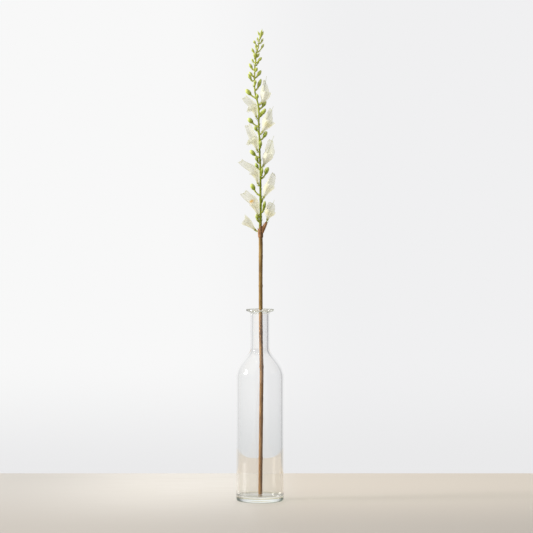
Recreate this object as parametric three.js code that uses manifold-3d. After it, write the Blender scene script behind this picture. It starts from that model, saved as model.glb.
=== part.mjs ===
// A foxglove flower spike standing in a clear glass bottle vase.
// Millimetres, +Z up. The origin is the centre of the vase's flat foot, and -Y is the front.
import * as THREE from "three";
import { mergeVertices } from "three/addons/utils/BufferGeometryUtils.js";
import Module from "manifold-3d";

const wasm = await Module();
wasm.setup();

// ---- Driving dimensions ----------------------------------------------------------------

const CLEARANCE = 0.3; // between pieces that rest on or grow from each other

const VASE = {
  height: 300,
  bodyRadius: 37,
  neckRadius: 14.8,
  lipRadius: 21.9,
  wall: 3.3,
  floor: 8.4,
  footRound: 5,
  floorRound: 4,
  shoulderFrom: 198,
  shoulderTo: 238,
  lipFrom: 291,
  facets: 40,
};

// The stem's centre line: the woody length inside and above the vase, then the green rachis,
// which zigzags a little from flower to flower. [x, y, z]
const STEM_LINE = [
  [0.4, 6.0, VASE.floor + CLEARANCE],
  [1.1, 6.6, 80],
  [1.9, 7.2, 150],
  [2.4, 7.7, 205],
  [1.6, 7.9, 240],
  [1.1, 8.2, 289],
  [0.9, 8.6, 350],
  [1.0, 9.0, 412],
  [-0.1, 9.0, 434],
  [1.2, 9.1, 456],
  [0.5, 9.2, 488],
  [0.8, 9.2, 516],
  [-0.8, 9.2, 542],
  [-0.8, 9.1, 564],
  [-2.2, 9.0, 590],
  [-2.0, 9.0, 618],
  [-6.2, 9.0, 630],
  [-9.6, 9.0, 650],
  [-9.8, 9.0, 660],
  [-8.4, 9.0, 672],
  [-7.6, 9.1, 686],
  [-5.2, 9.2, 700],
  [-1.8, 9.3, 714],
  [0.2, 9.4, 727],
];
// Radius of the stem at a height. The green rachis starts inside the sheath.
const STEM_RADII = [
  [0, 2.8],
  [200, 2.75],
  [350, 2.7],
  [412, 2.9],
  [422, 2.6],
  [436, 2.3],
  [452, 1.85],
  [500, 1.65],
  [560, 1.4],
  [620, 1.3],
  [680, 1.1],
  [727, 0.8],
];
// Small pointed scales on the rachis, where buds have not opened or flowers have dropped.
const SCALES = [
  { at: 437.0, turn: 350, length: 4.4, width: 2.4 },
  { at: 460.5, turn: 268, length: 6.0, width: 2.4 },
  { at: 474.0, turn: 20, length: 4.0, width: 2.8 },
  { at: 486.5, turn: 358, length: 2.6, width: 3.0 },
  { at: 531.5, turn: 12, length: 5.0, width: 2.0 },
  { at: 553.0, turn: 80, length: 4.4, width: 2.2 },
  { at: 582.0, turn: 10, length: 3.6, width: 2.0 },
  { at: 622.0, turn: 240, length: 3.6, width: 2.2 },
  { at: 656.5, turn: 262, length: 3.2, width: 2.4 },
  { at: 703.0, turn: 250, length: 4.0, width: 2.2 },
];
const STEM_SIDES = 8;
const STEM_RINGS = 52;

// The dry brown sheath that wraps the stem where the rachis starts, and the short branch
// that grows out of it and carries the lowest flower on the right.
const SHEATH = {
  from: 411,
  to: 428.5,
  radius: 4.5,
  branchFrom: [4.5, 8.5, 421.5],
  branchTo: [10.2, 7.8, 435.6],
  branchRadius: 2.3,
  flapTo: [4.5, 7.8, 434.5],
  flapRadius: 1.3,
};

// Flowers, from the lowest to the highest. turn is the way they face round the stem in degrees,
// 0 to the right and 270 to the front, and roll turns the lips round the mouth. throat is how far
// out and up the mouth's centre lies from the stem, and wide is its radius. leave and mouth are
// the tilts above level at which the flower leaves the stem and opens. Each lip has a length and
// its own tilt above level.
const FLOWERS = [
  {
    at: 421.5, turn: 172, roll: -22.5, throat: [21.8, 14.8], wide: 6.8,
    leave: 34, mouth: 24, upper: [8, 20], lower: [6, 2],
  },
  {
    at: 424.0, turn: 346, roll: 45, throat: [16.0, 28.5], wide: 6.2,
    leave: 60, mouth: 60, upper: [12, 56], lower: [5, 4],
  },
  {
    at: 443.5, turn: 216, roll: -45, throat: [12.2, 21.7], wide: 6.5,
    leave: 62, mouth: 50, upper: [26, 25], lower: [8, -30],
  },
  {
    at: 471.5, turn: 350, roll: 45, throat: [12.6, 21.0], wide: 6.2,
    leave: 48, mouth: 54, upper: [22, 66], lower: [7, 22],
  },
  {
    at: 493.0, turn: 204, roll: -45, throat: [10.4, 21.3], wide: 5.8,
    leave: 62, mouth: 46, upper: [26, 23], lower: [7, -36],
  },
  {
    at: 521.5, turn: 10, roll: 45, throat: [12.4, 18.4], wide: 6.2,
    leave: 44, mouth: 54, upper: [23, 68], lower: [4.5, 26],
  },
  {
    at: 545.5, turn: 196, roll: -22.5, throat: [9.6, 18.8], wide: 6.3,
    leave: 60, mouth: 52, upper: [25, 44], lower: [11, -22],
  },
  {
    at: 573.5, turn: 343, roll: 22.5, throat: [14.6, 19.2], wide: 6.3,
    leave: 40, mouth: 54, upper: [17, 58], lower: [6.5, 22],
  },
  {
    at: 597.5, turn: 197, roll: -45, throat: [8.6, 17.6], wide: 5.5,
    leave: 60, mouth: 58, upper: [22, 38], lower: [12, -12],
  },
  {
    at: 619.5, turn: 348, roll: 22.5, throat: [12.0, 19.0], wide: 6.8,
    leave: 32, mouth: 70, upper: [19, 76], lower: [3.5, 30],
  },
];
const BRANCH_FLOWER = 1; // grows from the sheath's branch instead of from the rachis

const COROLLA = {
  base: 1.05,
  wall: 0.7,
  facets: 16,
};
const CALYX = {
  pedicelRadius: 0.8,
  pedicel: 2.2,
  cup: 2.7,
  cupRadius: 2.15,
  cupWall: 0.5,
  facets: 8,
};

// Buds, from the lowest to the highest. at and turn are as on the flowers. tip is how far out and
// up the bud's tip lies from the stem, then come the bud's own length and its width. A twin is a
// second bud on the same stalk.
const BUDS = [
  { at: 436.0, turn: 226, tip: [8.8, 11.6], length: 8.5, width: 4.4, twin: [[8.4, 6.0], 6.0, 3.2] },
  { at: 451.0, turn: 332, tip: [7.6, 17.4], length: 10.5, width: 4.8, twin: [[6.6, 9.4], 7.0, 3.6] },
  { at: 463.0, turn: 84, tip: [8.5, 10.0], length: 6.8, width: 4.4 },
  { at: 478.0, turn: 174, tip: [14.6, 17.8], length: 8.4, width: 7.0 },
  { at: 504.5, turn: 4, tip: [12.0, 17.4], length: 9.4, width: 6.6 },
  { at: 508.5, turn: 302, tip: [5.8, 12.4], length: 9.5, width: 3.4 },
  { at: 518.5, turn: 166, tip: [8.4, 9.8], length: 7.4, width: 4.6 },
  { at: 528.5, turn: 212, tip: [9.0, 10.8], length: 8.6, width: 4.4 },
  { at: 537.0, turn: 176, tip: [15.0, 11.4], length: 9.0, width: 6.6 },
  { at: 551.5, turn: 296, tip: [5.0, 11.6], length: 9.6, width: 4.4 },
  { at: 564.5, turn: 6, tip: [11.6, 13.4], length: 8.4, width: 6.2 },
  { at: 578.0, turn: 172, tip: [7.8, 7.6], length: 6.8, width: 4.8 },
  { at: 585.5, turn: 180, tip: [16.8, 13.0], length: 8.2, width: 7.0 },
  { at: 600.5, turn: 334, tip: [11.6, 12.0], length: 8.6, width: 6.0, twin: [[6.2, 8.6], 7.0, 4.6] },
  { at: 607.0, turn: 98, tip: [8.0, 9.0], length: 6.2, width: 4.0 },
  { at: 613.5, turn: 16, tip: [11.6, 11.8], length: 8.6, width: 5.0 },
  { at: 627.5, turn: 286, tip: [5.0, 8.4], length: 6.8, width: 4.2 },
  { at: 630.5, turn: 181, tip: [16.0, 13.0], length: 9.4, width: 6.8 },
  { at: 642.5, turn: 12, tip: [10.6, 17.4], length: 11.5, width: 5.2 },
  { at: 649.5, turn: 304, tip: [4.8, 7.8], length: 6.8, width: 3.8 },
  { at: 656.5, turn: 200, tip: [9.2, 10.8], length: 8.2, width: 3.8 },
  { at: 661.0, turn: 6, tip: [11.6, 12.2], length: 8.6, width: 5.0 },
  { at: 664.0, turn: 158, tip: [8.4, 7.0], length: 6.8, width: 3.6 },
  { at: 671.5, turn: 322, tip: [5.0, 5.8], length: 5.2, width: 3.6 },
  { at: 674.0, turn: 186, tip: [9.0, 9.8], length: 7.4, width: 4.2 },
  { at: 681.0, turn: 40, tip: [8.4, 6.8], length: 4.6, width: 2.3 },
  { at: 685.0, turn: 352, tip: [10.6, 8.2], length: 6.4, width: 4.0 },
  { at: 685.5, turn: 168, tip: [5.6, 5.8], length: 4.6, width: 2.6 },
  { at: 691.0, turn: 250, tip: [4.4, 9.4], length: 7.4, width: 3.8 },
  { at: 694.0, turn: 330, tip: [6.2, 5.6], length: 5.0, width: 2.8 },
  { at: 698.5, turn: 192, tip: [7.8, 9.0], length: 6.6, width: 3.2 },
  { at: 702.0, turn: 12, tip: [11.2, 12.8], length: 6.6, width: 2.8 },
  { at: 706.5, turn: 146, tip: [4.6, 6.2], length: 4.4, width: 2.4 },
  { at: 711.0, turn: 198, tip: [7.9, 8.5], length: 4.4, width: 3.3 },
  { at: 715.5, turn: 20, tip: [6.8, 7.6], length: 5.2, width: 2.7 },
  { at: 719.0, turn: 160, tip: [4.0, 5.8], length: 4.4, width: 2.2 },
];
const STALK_RADII = [0.55, 0.75];
const BUD_FACETS = 7;

// The growing tip: an end bud and the last few buds, still joined to it.
const TIP_BUDS = [
  { from: [0.3, 9.4, 727.6], to: [3.3, 9.5, 738], length: 9.6, width: 3.6 },
  { from: [0.6, 9.4, 729.0], to: [-3.8, 8.8, 734.6], length: 4.8, width: 2.2 },
  { from: [0.9, 9.4, 729.0], to: [5.4, 11.2, 734.4], length: 4.6, width: 2.0 },
  { from: [0.5, 9.3, 728.0], to: [5.6, 7.6, 731.2], length: 4.4, width: 2.0 },
];

// ---- Materials ---------------------------------------------------------------------------

const finish = (color, roughness, extra = {}) =>
  new THREE.MeshStandardMaterial({ color, roughness, metalness: 0, ...extra });
const GLASS = finish(0xe4ece8, 0.05, { transparent: true, opacity: 0.35 });
const WOODY = finish(0x8c6a3c, 0.65);
const DRY_SHEATH = finish(0x8a5a3c, 0.7);
const PETAL = finish(0xf1efdf, 0.6);
const GREEN = finish(0x8ea63a, 0.55);
const LEAF_GREEN = finish(0x6f8a28, 0.55);

// ---- Shared shapes ------------------------------------------------------------------------

const UP = new THREE.Vector3(0, 0, 1);
const BACK = new THREE.Vector3(0, 1, 0);
const radians = THREE.MathUtils.degToRad;
const vector = (xyz) => new THREE.Vector3(...xyz);

// The value at x of a table of [x, value] pairs, straight between them and level outside them.
function along(table, x) {
  const next = table.findIndex(([at]) => at > x);
  if (next < 0) return table.at(-1)[1];
  if (next === 0) return table[0][1];
  const [[x0, v0], [x1, v1]] = [table[next - 1], table[next]];
  return THREE.MathUtils.mapLinear(x, x0, x1, v0, v1);
}

// A point on a curve with the directions across it: side is the given level direction and above
// the one at right angles to it. Past its ends the curve runs straight on.
function station(curve, distance, side) {
  const length = curve.getLength();
  const share = THREE.MathUtils.clamp(distance / length, 0, 1);
  const tangent = curve.getTangentAt(share);
  const point = curve.getPointAt(share).addScaledVector(tangent, distance - share * length);
  const above = new THREE.Vector3().crossVectors(tangent, side).normalize();
  return { point, tangent, above, side: new THREE.Vector3().crossVectors(above, tangent) };
}

// The direction at an angle round a station, from above and away from the side.
const outwards = ({ above, side }, angle) =>
  above.clone().multiplyScalar(Math.cos(angle)).addScaledVector(side, -Math.sin(angle));

// Turns a profile of [radius, distance] pairs about its axis, then bends that axis along a curve.
// shape, if given, places the points instead: it gets the station, the angle, the radius and the
// distance.
function turned(profile, facets, curve, side, shape) {
  const points = profile.map(([radius, distance]) => new THREE.Vector2(radius, distance));
  const geometry = new THREE.LatheGeometry(points, facets);
  const position = geometry.getAttribute("position");
  const v = new THREE.Vector3();
  for (let i = 0; i < position.count; i++) {
    v.fromBufferAttribute(position, i);
    const place = station(curve, v.y, side);
    const angle = Math.atan2(v.x, v.z);
    const radius = Math.hypot(v.x, v.z);
    const moved = shape
      ? shape(place, angle, radius, v.y)
      : place.point.clone().addScaledVector(outwards(place, angle), radius);
    position.setXYZ(i, moved.x, moved.y, moved.z);
  }
  return geometry;
}

const curveThrough = (points) => new THREE.CatmullRomCurve3(points.map(vector), false, "centripetal");

function solidOf(geometry) {
  const bare = new THREE.BufferGeometry();
  bare.setAttribute("position", geometry.getAttribute("position"));
  bare.setIndex(geometry.index);
  const merged = mergeVertices(bare, 1e-3);
  return new wasm.Manifold(
    new wasm.Mesh({
      numProp: 3,
      vertProperties: merged.getAttribute("position").array,
      triVerts: new Uint32Array(merged.index.array),
    }),
  );
}

function joined(geometries) {
  const whole = geometries.map(solidOf).reduce((sum, solid) => sum.add(solid));
  const mesh = whole.getMesh();
  return new THREE.BufferGeometry()
    .setAttribute("position", new THREE.BufferAttribute(mesh.vertProperties, 3))
    .setIndex(new THREE.BufferAttribute(mesh.triVerts, 1));
}

const plant = new THREE.Group();

function add(name, geometry, material) {
  const mesh = new THREE.Mesh(geometry, material);
  mesh.name = name;
  plant.add(mesh);
}

// ---- Vase -----------------------------------------------------------------------------------

// Half of the bottle's section: up the outside from the foot, round the lip, down the inside.
function vaseProfile() {
  const { bodyRadius, neckRadius, lipRadius, wall, height, floor } = VASE;
  const bore = neckRadius - wall;
  const inside = bodyRadius - wall;
  const outline = new THREE.Path();
  outline.moveTo(0, 0);
  outline.lineTo(bodyRadius - VASE.footRound, 0);
  outline.quadraticCurveTo(bodyRadius, 0, bodyRadius, VASE.footRound);
  outline.lineTo(bodyRadius, VASE.shoulderFrom);
  outline.bezierCurveTo(
    bodyRadius, VASE.shoulderFrom + 16,
    neckRadius, VASE.shoulderTo - 12,
    neckRadius, VASE.shoulderTo,
  );
  outline.lineTo(neckRadius, VASE.lipFrom);
  outline.quadraticCurveTo(neckRadius, height - 5.4, lipRadius - 0.6, height - 2.2);
  outline.quadraticCurveTo(lipRadius + 0.5, height - 0.6, lipRadius - 1.4, height);
  outline.quadraticCurveTo(bore, height - 3, bore, height - 10);
  outline.lineTo(bore, VASE.shoulderTo - 2);
  outline.bezierCurveTo(
    bore, VASE.shoulderTo - 14.5,
    inside, VASE.shoulderFrom + 13,
    inside, VASE.shoulderFrom + 1,
  );
  outline.lineTo(inside, floor + VASE.floorRound);
  outline.quadraticCurveTo(inside, floor, inside - VASE.floorRound, floor);
  outline.lineTo(0, floor);
  return outline.getPoints(4);
}

const upright = new THREE.LineCurve3(new THREE.Vector3(), UP.clone().multiplyScalar(VASE.height));
const vasePoints = vaseProfile().map(({ x, y }) => [x, y]);
add("vase", turned(vasePoints, VASE.facets, upright, BACK), GLASS);

// ---- Stem -----------------------------------------------------------------------------------

const stemCurve = curveThrough(STEM_LINE);
stemCurve.arcLengthDivisions = 800;

// The stem's centre line at a height, found by halving.
function stemAt(height) {
  let [low, high] = [0, 1];
  for (let i = 0; i < 24; i++) {
    const middle = (low + high) / 2;
    if (stemCurve.getPoint(middle).z < height) low = middle;
    else high = middle;
  }
  return stemCurve.getPoint(low);
}

function stemProfile() {
  const length = stemCurve.getLength();
  const rings = Array.from({ length: STEM_RINGS + 1 }, (_, i) => i / STEM_RINGS);
  const skin = rings.map((share) => [
    along(STEM_RADII, stemCurve.getPointAt(share).z),
    share * length,
  ]);
  return [[0, 0], ...skin, [0, length]];
}

const tapered = (curve, side, radii, facets) => {
  const length = curve.getLength();
  const skin = radii.map((radius, i) => [radius, (i / (radii.length - 1)) * length]);
  return turned([[0, 0], ...skin, [0, length]], facets, curve, side);
};

// A scale grows out of the skin and hugs the stem, with its point standing off a little.
const scales = SCALES.map(({ at, turn, length, width }) => {
  const outward = new THREE.Vector3(Math.cos(radians(turn)), Math.sin(radians(turn)), 0);
  const skin = along(STEM_RADII, at);
  const root = stemAt(at).addScaledVector(outward, skin * 0.6);
  const point = stemAt(at).addScaledVector(outward, skin + 0.34 * length).addScaledVector(UP, length);
  const line = new THREE.LineCurve3(root, point);
  return tapered(line, BACK, [0.3 * width, 0.5 * width, 0.12 * width], 6);
});

add("stem", joined([turned(stemProfile(), STEM_SIDES, stemCurve, BACK), ...scales]), WOODY);

// ---- Growths from the stem --------------------------------------------------------------------

const outwardAt = (turn) => new THREE.Vector3(Math.cos(radians(turn)), Math.sin(radians(turn)), 0);

// The path of a stalk that leaves the stem at a height, starting clear of its skin, and ends some
// way out and up from there. leave and arrive are its tilts above level at its two ends.
function stalkPath({ at, turn, end: [out, up], thickness, leave, arrive }) {
  const outward = outwardAt(turn);
  const heading = (tilt) =>
    outward.clone().multiplyScalar(Math.cos(radians(tilt))).addScaledVector(UP, Math.sin(radians(tilt)));
  const root = stemAt(at);
  const wrapped = at > SHEATH.from && at < SHEATH.to;
  const bark = wrapped ? SHEATH.radius : along(STEM_RADII, at);
  const skin = bark * 1.04 + CLEARANCE + thickness * Math.sin(radians(leave));
  const from = root.clone().addScaledVector(outward, skin);
  const to = root.clone().addScaledVector(outward, out).addScaledVector(UP, up);
  const grip = 0.38 * from.distanceTo(to);
  return new THREE.CubicBezierCurve3(
    from,
    from.clone().addScaledVector(heading(leave), grip),
    to.clone().addScaledVector(heading(arrive), -grip),
    to,
  );
}

const sideways = (turn) => new THREE.Vector3().crossVectors(UP, outwardAt(turn));

// A stalk that swells into a bud with a blunt point.
function budProfile(total, length, width) {
  const swelling = [
    [0.1, 0.62],
    [0.4, 1.0],
    [0.7, 0.84],
    [0.94, 0.4],
  ];
  const [thin, thick] = STALK_RADII;
  const start = Math.max(total - length, 0.8);
  const skin = swelling.map(([share, radius]) => [
    Math.max((width / 2) * radius, thin),
    start + share * (total - start),
  ]);
  return [[0, 0], [thin, 0], [Math.min(thick, 0.4 * width), 0.7 * start], ...skin, [0, total]];
}

function budGeometry({ at, turn }, tip, length, width) {
  const leaning = THREE.MathUtils.radToDeg(Math.atan2(tip[1], tip[0]));
  const path = stalkPath({
    at,
    turn,
    end: tip,
    thickness: STALK_RADII[0],
    leave: 0.6 * leaning,
    arrive: Math.min(leaning + 8, 82),
  });
  return turned(budProfile(path.getLength(), length, width), BUD_FACETS, path, sideways(turn));
}

BUDS.forEach((bud, i) => {
  const single = budGeometry(bud, bud.tip, bud.length, bud.width);
  const geometry = bud.twin ? joined([single, budGeometry(bud, ...bud.twin)]) : single;
  add("bud_" + String(i + 1).padStart(2, "0"), geometry, GREEN);
});

// ---- Growing tip --------------------------------------------------------------------------------

const tipBuds = TIP_BUDS.map((bud) => {
  const path = new THREE.LineCurve3(vector(bud.from), vector(bud.to));
  return turned(budProfile(path.getLength(), bud.length, bud.width), BUD_FACETS, path, BACK);
});
add("growing_tip", joined(tipBuds), GREEN);

// ---- Sheath and its branch ------------------------------------------------------------------------

function sheathGeometry() {
  const sleeveLine = new THREE.LineCurve3(stemAt(SHEATH.from), stemAt(SHEATH.to));
  const length = sleeveLine.getLength();
  const bore = (share) =>
    along(STEM_RADII, THREE.MathUtils.lerp(SHEATH.from, SHEATH.to, share)) + 1.6 * CLEARANCE;
  const sleeve = turned(
    [
      [bore(0), 0],
      [SHEATH.radius - 0.5, 0],
      [SHEATH.radius, 2.5],
      [SHEATH.radius, length - 6],
      [SHEATH.radius - 0.8, length],
      [bore(1), length],
      [bore(0.5), length / 2],
      [bore(0), 0],
    ],
    12,
    sleeveLine,
    BACK,
  );
  const root = vector(SHEATH.branchFrom);
  const branch = new THREE.LineCurve3(root, vector(SHEATH.branchTo));
  const flap = new THREE.LineCurve3(root, vector(SHEATH.flapTo));
  const { branchRadius, flapRadius } = SHEATH;
  return joined([
    sleeve,
    tapered(branch, BACK, [0.3 * branchRadius, 1.1 * branchRadius, branchRadius, 0.85 * branchRadius], 8),
    tapered(flap, BACK, [0.4 * flapRadius, flapRadius, 0.8 * flapRadius, 0.15 * flapRadius], 8),
  ]);
}

add("sheath", sheathGeometry(), DRY_SHEATH);

// ---- Flowers ----------------------------------------------------------------------------------------

const { pedicel, cup } = CALYX;
const COROLLA_FROM = pedicel + 1.2 + CLEARANCE;

// A short stalk that opens into a cup, which holds the corolla's foot.
function calyxProfile() {
  const { pedicelRadius, cupRadius, cupWall } = CALYX;
  return [
    [0, 0],
    [pedicelRadius, 0],
    [pedicelRadius, pedicel - 0.6],
    [cupRadius - 0.5, pedicel + 0.8],
    [cupRadius, pedicel + cup],
    [cupRadius - cupWall + 0.1, pedicel + cup],
    [cupRadius - cupWall - 0.2, pedicel + 1.2],
    [0, pedicel + 1.2],
  ];
}

// Radius of the corolla's tube at a share of its length, as a share of the way to the throat's.
const TUBE_SWELLING = [
  [0, 0],
  [0.12, 0.12],
  [0.3, 0.34],
  [0.55, 0.7],
  [0.8, 0.94],
  [1, 1],
];
const LIP_STEPS = [0.35, 0.7, 1];

// How far the rim is drawn out at an angle round the mouth, as a share of its lip's length:
// two lobes above, three below and a gap between the lips on each side.
function lobes(angle) {
  const above = Math.cos(angle) >= 0;
  const notch = (1 + Math.cos((above ? 4 : 6) * angle + (above ? 0 : Math.PI))) / 2;
  const broad = THREE.MathUtils.smoothstep(Math.abs(Math.cos(angle)), 0, 0.5);
  return 0.1 + 0.9 * broad * (1 - 0.25 * notch);
}

function corollaGeometry(flower, path, side) {
  const { wide, mouth, roll } = flower;
  const rim = path.getLength();
  const tube = rim - COROLLA_FROM;
  const skin = TUBE_SWELLING.map(([share, swelling]) => [
    THREE.MathUtils.lerp(COROLLA.base, wide, swelling),
    COROLLA_FROM + share * tube,
  ]);
  const lips = LIP_STEPS.map((share) => [wide, rim + share]);
  const lining = [...skin.slice(1), ...lips]
    .reverse()
    .map(([radius, distance]) => [radius - COROLLA.wall, distance]);
  const profile = [[0, COROLLA_FROM], ...skin, ...lips, ...lining, [0, lining.at(-1)[1]]];

  // Past the rim, distance counts as a share of the lip, and each lip runs its own way.
  const rimPlace = station(path, rim, side);
  const shape = (place, angle, radius, distance) => {
    const outward = outwards(place, angle);
    if (distance <= rim) return place.point.clone().addScaledVector(outward, radius);
    const lipAngle = angle + radians(roll);
    const middle = Math.cos(lipAngle);
    const [length, tilt] = middle >= 0 ? flower.upper : flower.lower;
    const lean = radians(tilt - mouth) * THREE.MathUtils.smoothstep(Math.abs(middle), 0, 0.4);
    const run = place.tangent.clone().applyAxisAngle(rimPlace.side, -lean);
    const skinward = outward.clone().addScaledVector(run, -outward.dot(run)).normalize();
    return rimPlace.point
      .clone()
      .addScaledVector(outward, wide)
      .addScaledVector(run, (distance - rim) * lobes(lipAngle) * length)
      .addScaledVector(skinward, radius - wide);
  };
  return turned(profile, COROLLA.facets, path, side, shape);
}

// The lowest flower on the right sits on the end of the sheath's branch.
function branchPath(path) {
  const end = vector(SHEATH.branchTo);
  const growing = end.clone().sub(vector(SHEATH.branchFrom)).normalize();
  const from = end.addScaledVector(growing, CLEARANCE);
  const grip = 0.38 * from.distanceTo(path.v3);
  return new THREE.CubicBezierCurve3(
    from,
    from.clone().addScaledVector(growing, grip),
    path.v3.clone().addScaledVector(path.getTangent(1), -grip),
    path.v3,
  );
}

FLOWERS.forEach((flower, i) => {
  const fromStem = stalkPath({
    at: flower.at,
    turn: flower.turn,
    end: flower.throat,
    thickness: CALYX.pedicelRadius,
    leave: flower.leave,
    arrive: flower.mouth,
  });
  const path = i === BRANCH_FLOWER ? branchPath(fromStem) : fromStem;
  const side = sideways(flower.turn);
  const name = "flower_" + String(i + 1).padStart(2, "0");
  add(name + "_calyx", turned(calyxProfile(), CALYX.facets, path, side), LEAF_GREEN);
  add(name + "_corolla", corollaGeometry(flower, path, side), PETAL);
});

export default plant;
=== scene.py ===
"""The looks of a foxglove flower spike in a clear glass bottle vase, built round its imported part.

Metres, +Z up, -Y to the front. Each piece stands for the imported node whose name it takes; only the
stamens inside the flowers have no node of their own.
"""
import math

import bpy
import numpy as np
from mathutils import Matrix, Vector


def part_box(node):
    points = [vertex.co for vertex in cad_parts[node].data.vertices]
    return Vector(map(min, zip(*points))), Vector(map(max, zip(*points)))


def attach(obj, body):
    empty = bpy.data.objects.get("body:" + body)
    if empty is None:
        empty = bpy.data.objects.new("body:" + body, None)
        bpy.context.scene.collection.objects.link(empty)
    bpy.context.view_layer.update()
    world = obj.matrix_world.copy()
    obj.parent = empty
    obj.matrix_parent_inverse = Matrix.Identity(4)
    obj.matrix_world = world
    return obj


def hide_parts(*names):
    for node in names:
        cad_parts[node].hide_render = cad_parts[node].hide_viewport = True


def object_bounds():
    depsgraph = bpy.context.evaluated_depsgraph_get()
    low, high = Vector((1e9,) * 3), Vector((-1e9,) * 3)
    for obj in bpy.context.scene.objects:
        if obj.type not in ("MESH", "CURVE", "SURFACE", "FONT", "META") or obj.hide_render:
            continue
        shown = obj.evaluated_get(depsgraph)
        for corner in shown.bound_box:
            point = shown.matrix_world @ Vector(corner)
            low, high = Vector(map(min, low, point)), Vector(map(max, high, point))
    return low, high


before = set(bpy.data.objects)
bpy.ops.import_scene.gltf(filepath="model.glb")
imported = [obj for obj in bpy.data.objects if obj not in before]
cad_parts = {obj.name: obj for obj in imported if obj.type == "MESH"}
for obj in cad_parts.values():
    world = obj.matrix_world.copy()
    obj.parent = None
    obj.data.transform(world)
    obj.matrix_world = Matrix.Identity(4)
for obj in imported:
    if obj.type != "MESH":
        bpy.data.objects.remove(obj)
CAD_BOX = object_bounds()

MM = 0.001
UP = np.array([0.0, 0.0, 1.0])
FRONT = np.array([0.0, -1.0, 0.0])
# Times a direction, this keeps the level part of it.
LEVEL = np.array([1.0, 1.0, 0.0])
TURN = 2 * math.pi

# ---- Sizes ---------------------------------------------------------------------------------------

VASE_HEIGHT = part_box("vase")[1].z
BODY_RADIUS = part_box("vase")[1].y
NECK_RADIUS = 14.8 * MM
LIP_RADIUS = 21.9 * MM
GLASS_WALL = 3.3 * MM
GLASS_FLOOR = 8.4 * MM
FOOT_ROUND = 3.2 * MM
FLOOR_ROUND = 4 * MM
LIP_BEAD = 2 * MM
SHOULDER_FROM = 191 * MM
SHOULDER_TO = 238 * MM
# How far up from the body, and down from the neck, the shoulder's curve is drawn: outside, inside.
SHOULDER_EASE = (27 * MM, 12 * MM)
INNER_EASE = (24 * MM, 14.5 * MM)
LIP_FROM = 291 * MM
# Where the glass changes its tint, from one height to another: painted shade that greys it low down,
# the edge of the painted warm refraction of the table inside, that refraction's fainter foot, the foot,
# the line round the heel, and the lip.
GREYER_DOWN = (50 * MM, 170 * MM)
PAINTED_REFRACTION_EDGE = (65.5 * MM, 67 * MM)
PAINTED_REFRACTION_FOOT = (41.8 * MM, 43.4 * MM)
FOOT_TINT = (4 * MM, 12.5 * MM)
HEEL_STARTS, HEEL_ENDS = (5.4 * MM, 6.3 * MM), (7.4 * MM, 8.5 * MM)
LIP_TINT = (292.5 * MM, 295.5 * MM)
# The line round the heel shows only this far out from the middle.
HEEL_OUT = (32.5 * MM, 34.5 * MM)

SHEATH_FROM, SHEATH_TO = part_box("sheath")[0].z, 428.5 * MM
SHEATH_RADIUS = 4.5 * MM
# Where the sheath's branch comes out and where it ends, and the tip of the flap that stands beside it.
BRANCH_FROM = np.array([4.5, 8.5, 421.5]) * MM
BRANCH_TO = np.array([10.2, 7.8, 435.6]) * MM
FLAP_TO = np.array([4.5, 7.8, 434.5]) * MM
# Loose strips of the sheath: foot's height and distance out, turn, lean, length, width and curl.
LOOSE_STRIPS = [
    (421.5, 3.6, 200, 0.1, 5.0, 3.4, 0.1),
    (426.2, 3.2, 285, 0.0, 4.6, 3.0, 0.12),
    (423.5, 3.4, 110, 0.0, 5.6, 3.2, 0.1),
]
# The stem is downy from here up.
DOWN_FROM = 432 * MM
# The knots of the woody stem: height, and how much thicker it is there.
KNOTS = [(65.5, 0.1), (127.5, 0.07), (209.6, 0.16), (262, 0.06), (335.5, 0.12), (382, 0.07)]

PEDICEL_RADIUS = 0.8 * MM
PEDICEL_LENGTH = 2.2 * MM
# The petal tube starts this far along a flower's path, and its foot has this radius.
TUBE_FROM = 3.7 * MM
TUBE_FOOT = 1.05 * MM
# The gap between a stalk and the skin that it grows on.
CLEARANCE = 0.3 * MM

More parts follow.
